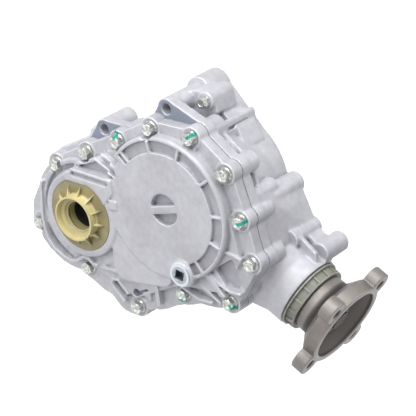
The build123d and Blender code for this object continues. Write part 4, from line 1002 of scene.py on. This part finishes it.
class TRANSFERCASE_OT_stage(Operator):
    """Floor, lights and camera"""

    bl_idname = "transfer_case.stage"
    bl_label = "Stage"

    def execute(self, context):
        scene = context.scene
        settings = scene.transfer_case.stage
        low, high = CAD_BOX
        centre = (low + high) / 2
        mesh = bpy.data.meshes.new("floor")
        corners = [(x * FLOOR_REACH, y * FLOOR_REACH, 0) for x, y in ((-1, -1), (1, -1), (1, 1), (-1, 1))]
        mesh.from_pydata(corners, [], [(0, 1, 2, 3)])
        floor = bpy.data.objects.new("floor", mesh)
        scene.collection.objects.link(floor)
        floor.location.z = low.z - FLOOR_DROP
        shader = Shader("floor", (0.5, 0.5, 0.5), 0.9)
        shader.put("Emission Color", shader.mix(backdrop_rays(shader), (0.0, 0.0, 0.0), (1.0, 1.0, 1.0)))
        shader.put("Emission Strength", 0.75)
        mesh.materials.append(shader.material)
        world = bpy.data.worlds.new("studio")
        scene.world = world
        world.use_nodes = True
        world.node_tree.nodes.clear()
        nodes = Nodes(world.node_tree)
        glow = nodes.node("ShaderNodeBackground", Color=(0.97, 0.98, 1.0), Strength=settings.sky)
        white = nodes.node("ShaderNodeBackground", Color=(1.0, 1.0, 1.0), Strength=1.0)
        sky = nodes.node("ShaderNodeMixShader", Fac=backdrop_rays(nodes), _1=glow, _2=white)
        out = world.node_tree.nodes.new("ShaderNodeOutputWorld")
        world.node_tree.links.new(sky.socket, out.inputs["Surface"])
        for name, (way, distance, width) in LAMPS.items():
            lamp = bpy.data.lights.new(name, "AREA")
            lamp.size = width
            lamp.energy = getattr(settings, name)
            light = bpy.data.objects.new(name, lamp)
            way = Vector(way).normalized()
            light.location = centre + way * distance
            light.rotation_euler = (-way).to_track_quat("-Z", "Y").to_euler()
            scene.collection.objects.link(light)
        lens = bpy.data.cameras.new("camera")
        lens.lens = FOCAL_LENGTH
        lens.sensor_width = SENSOR_WIDTH
        lens.clip_start = 0.1
        camera = bpy.data.objects.new("camera", lens)
        turn = Matrix((CAMERA_RIGHT, CAMERA_UP, CAMERA_BACK)).transposed()
        camera.matrix_world = Matrix.Translation(CAMERA_PLACE) @ turn.to_4x4()
        scene.collection.objects.link(camera)
        scene.camera = camera
        scene.view_settings.view_transform = "Standard"
        return {"FINISHED"}


class TransferCaseSettings(PropertyGroup):
    colours: PointerProperty(type=ColourSettings)
    casting: PointerProperty(type=CastingSettings)
    screws: PointerProperty(type=ScrewSettings)
    stage: PointerProperty(type=StageSettings)


class TRANSFERCASE_PT_panel(Panel):
    """Settings and build buttons of the transfer case"""

    bl_idname = "TRANSFERCASE_PT_panel"
    bl_label = "Transfer Case"
    bl_space_type = "VIEW_3D"
    bl_region_type = "UI"
    bl_category = "Transfer Case"

    def draw(self, context):
        settings = context.scene.transfer_case
        for group in (settings.colours, settings.casting, settings.screws, settings.stage):
            box = self.layout.box()
            for name in group.bl_rna.properties.keys():
                if name not in ("rna_type", "name"):
                    box.prop(group, name)
        for operator in OPERATORS:
            self.layout.operator(operator.bl_idname)


OPERATORS = (
    TRANSFERCASE_OT_finishes,
    TRANSFERCASE_OT_castings,
    TRANSFERCASE_OT_flange,
    TRANSFERCASE_OT_screws,
    TRANSFERCASE_OT_stage,
)
CLASSES = (
    ColourSettings,
    CastingSettings,
    ScrewSettings,
    StageSettings,
    TransferCaseSettings,
    *OPERATORS,
    TRANSFERCASE_PT_panel,
)


def register():
    for cls in CLASSES:
        bpy.utils.register_class(cls)
    bpy.types.Scene.transfer_case = PointerProperty(type=TransferCaseSettings)


def unregister():
    del bpy.types.Scene.transfer_case
    for cls in reversed(CLASSES):
        bpy.utils.unregister_class(cls)


def main():
    register()
    for operator in OPERATORS:
        group, name = operator.bl_idname.split(".")
        getattr(getattr(bpy.ops, group), name)()


if __name__ == "__main__":
    main()
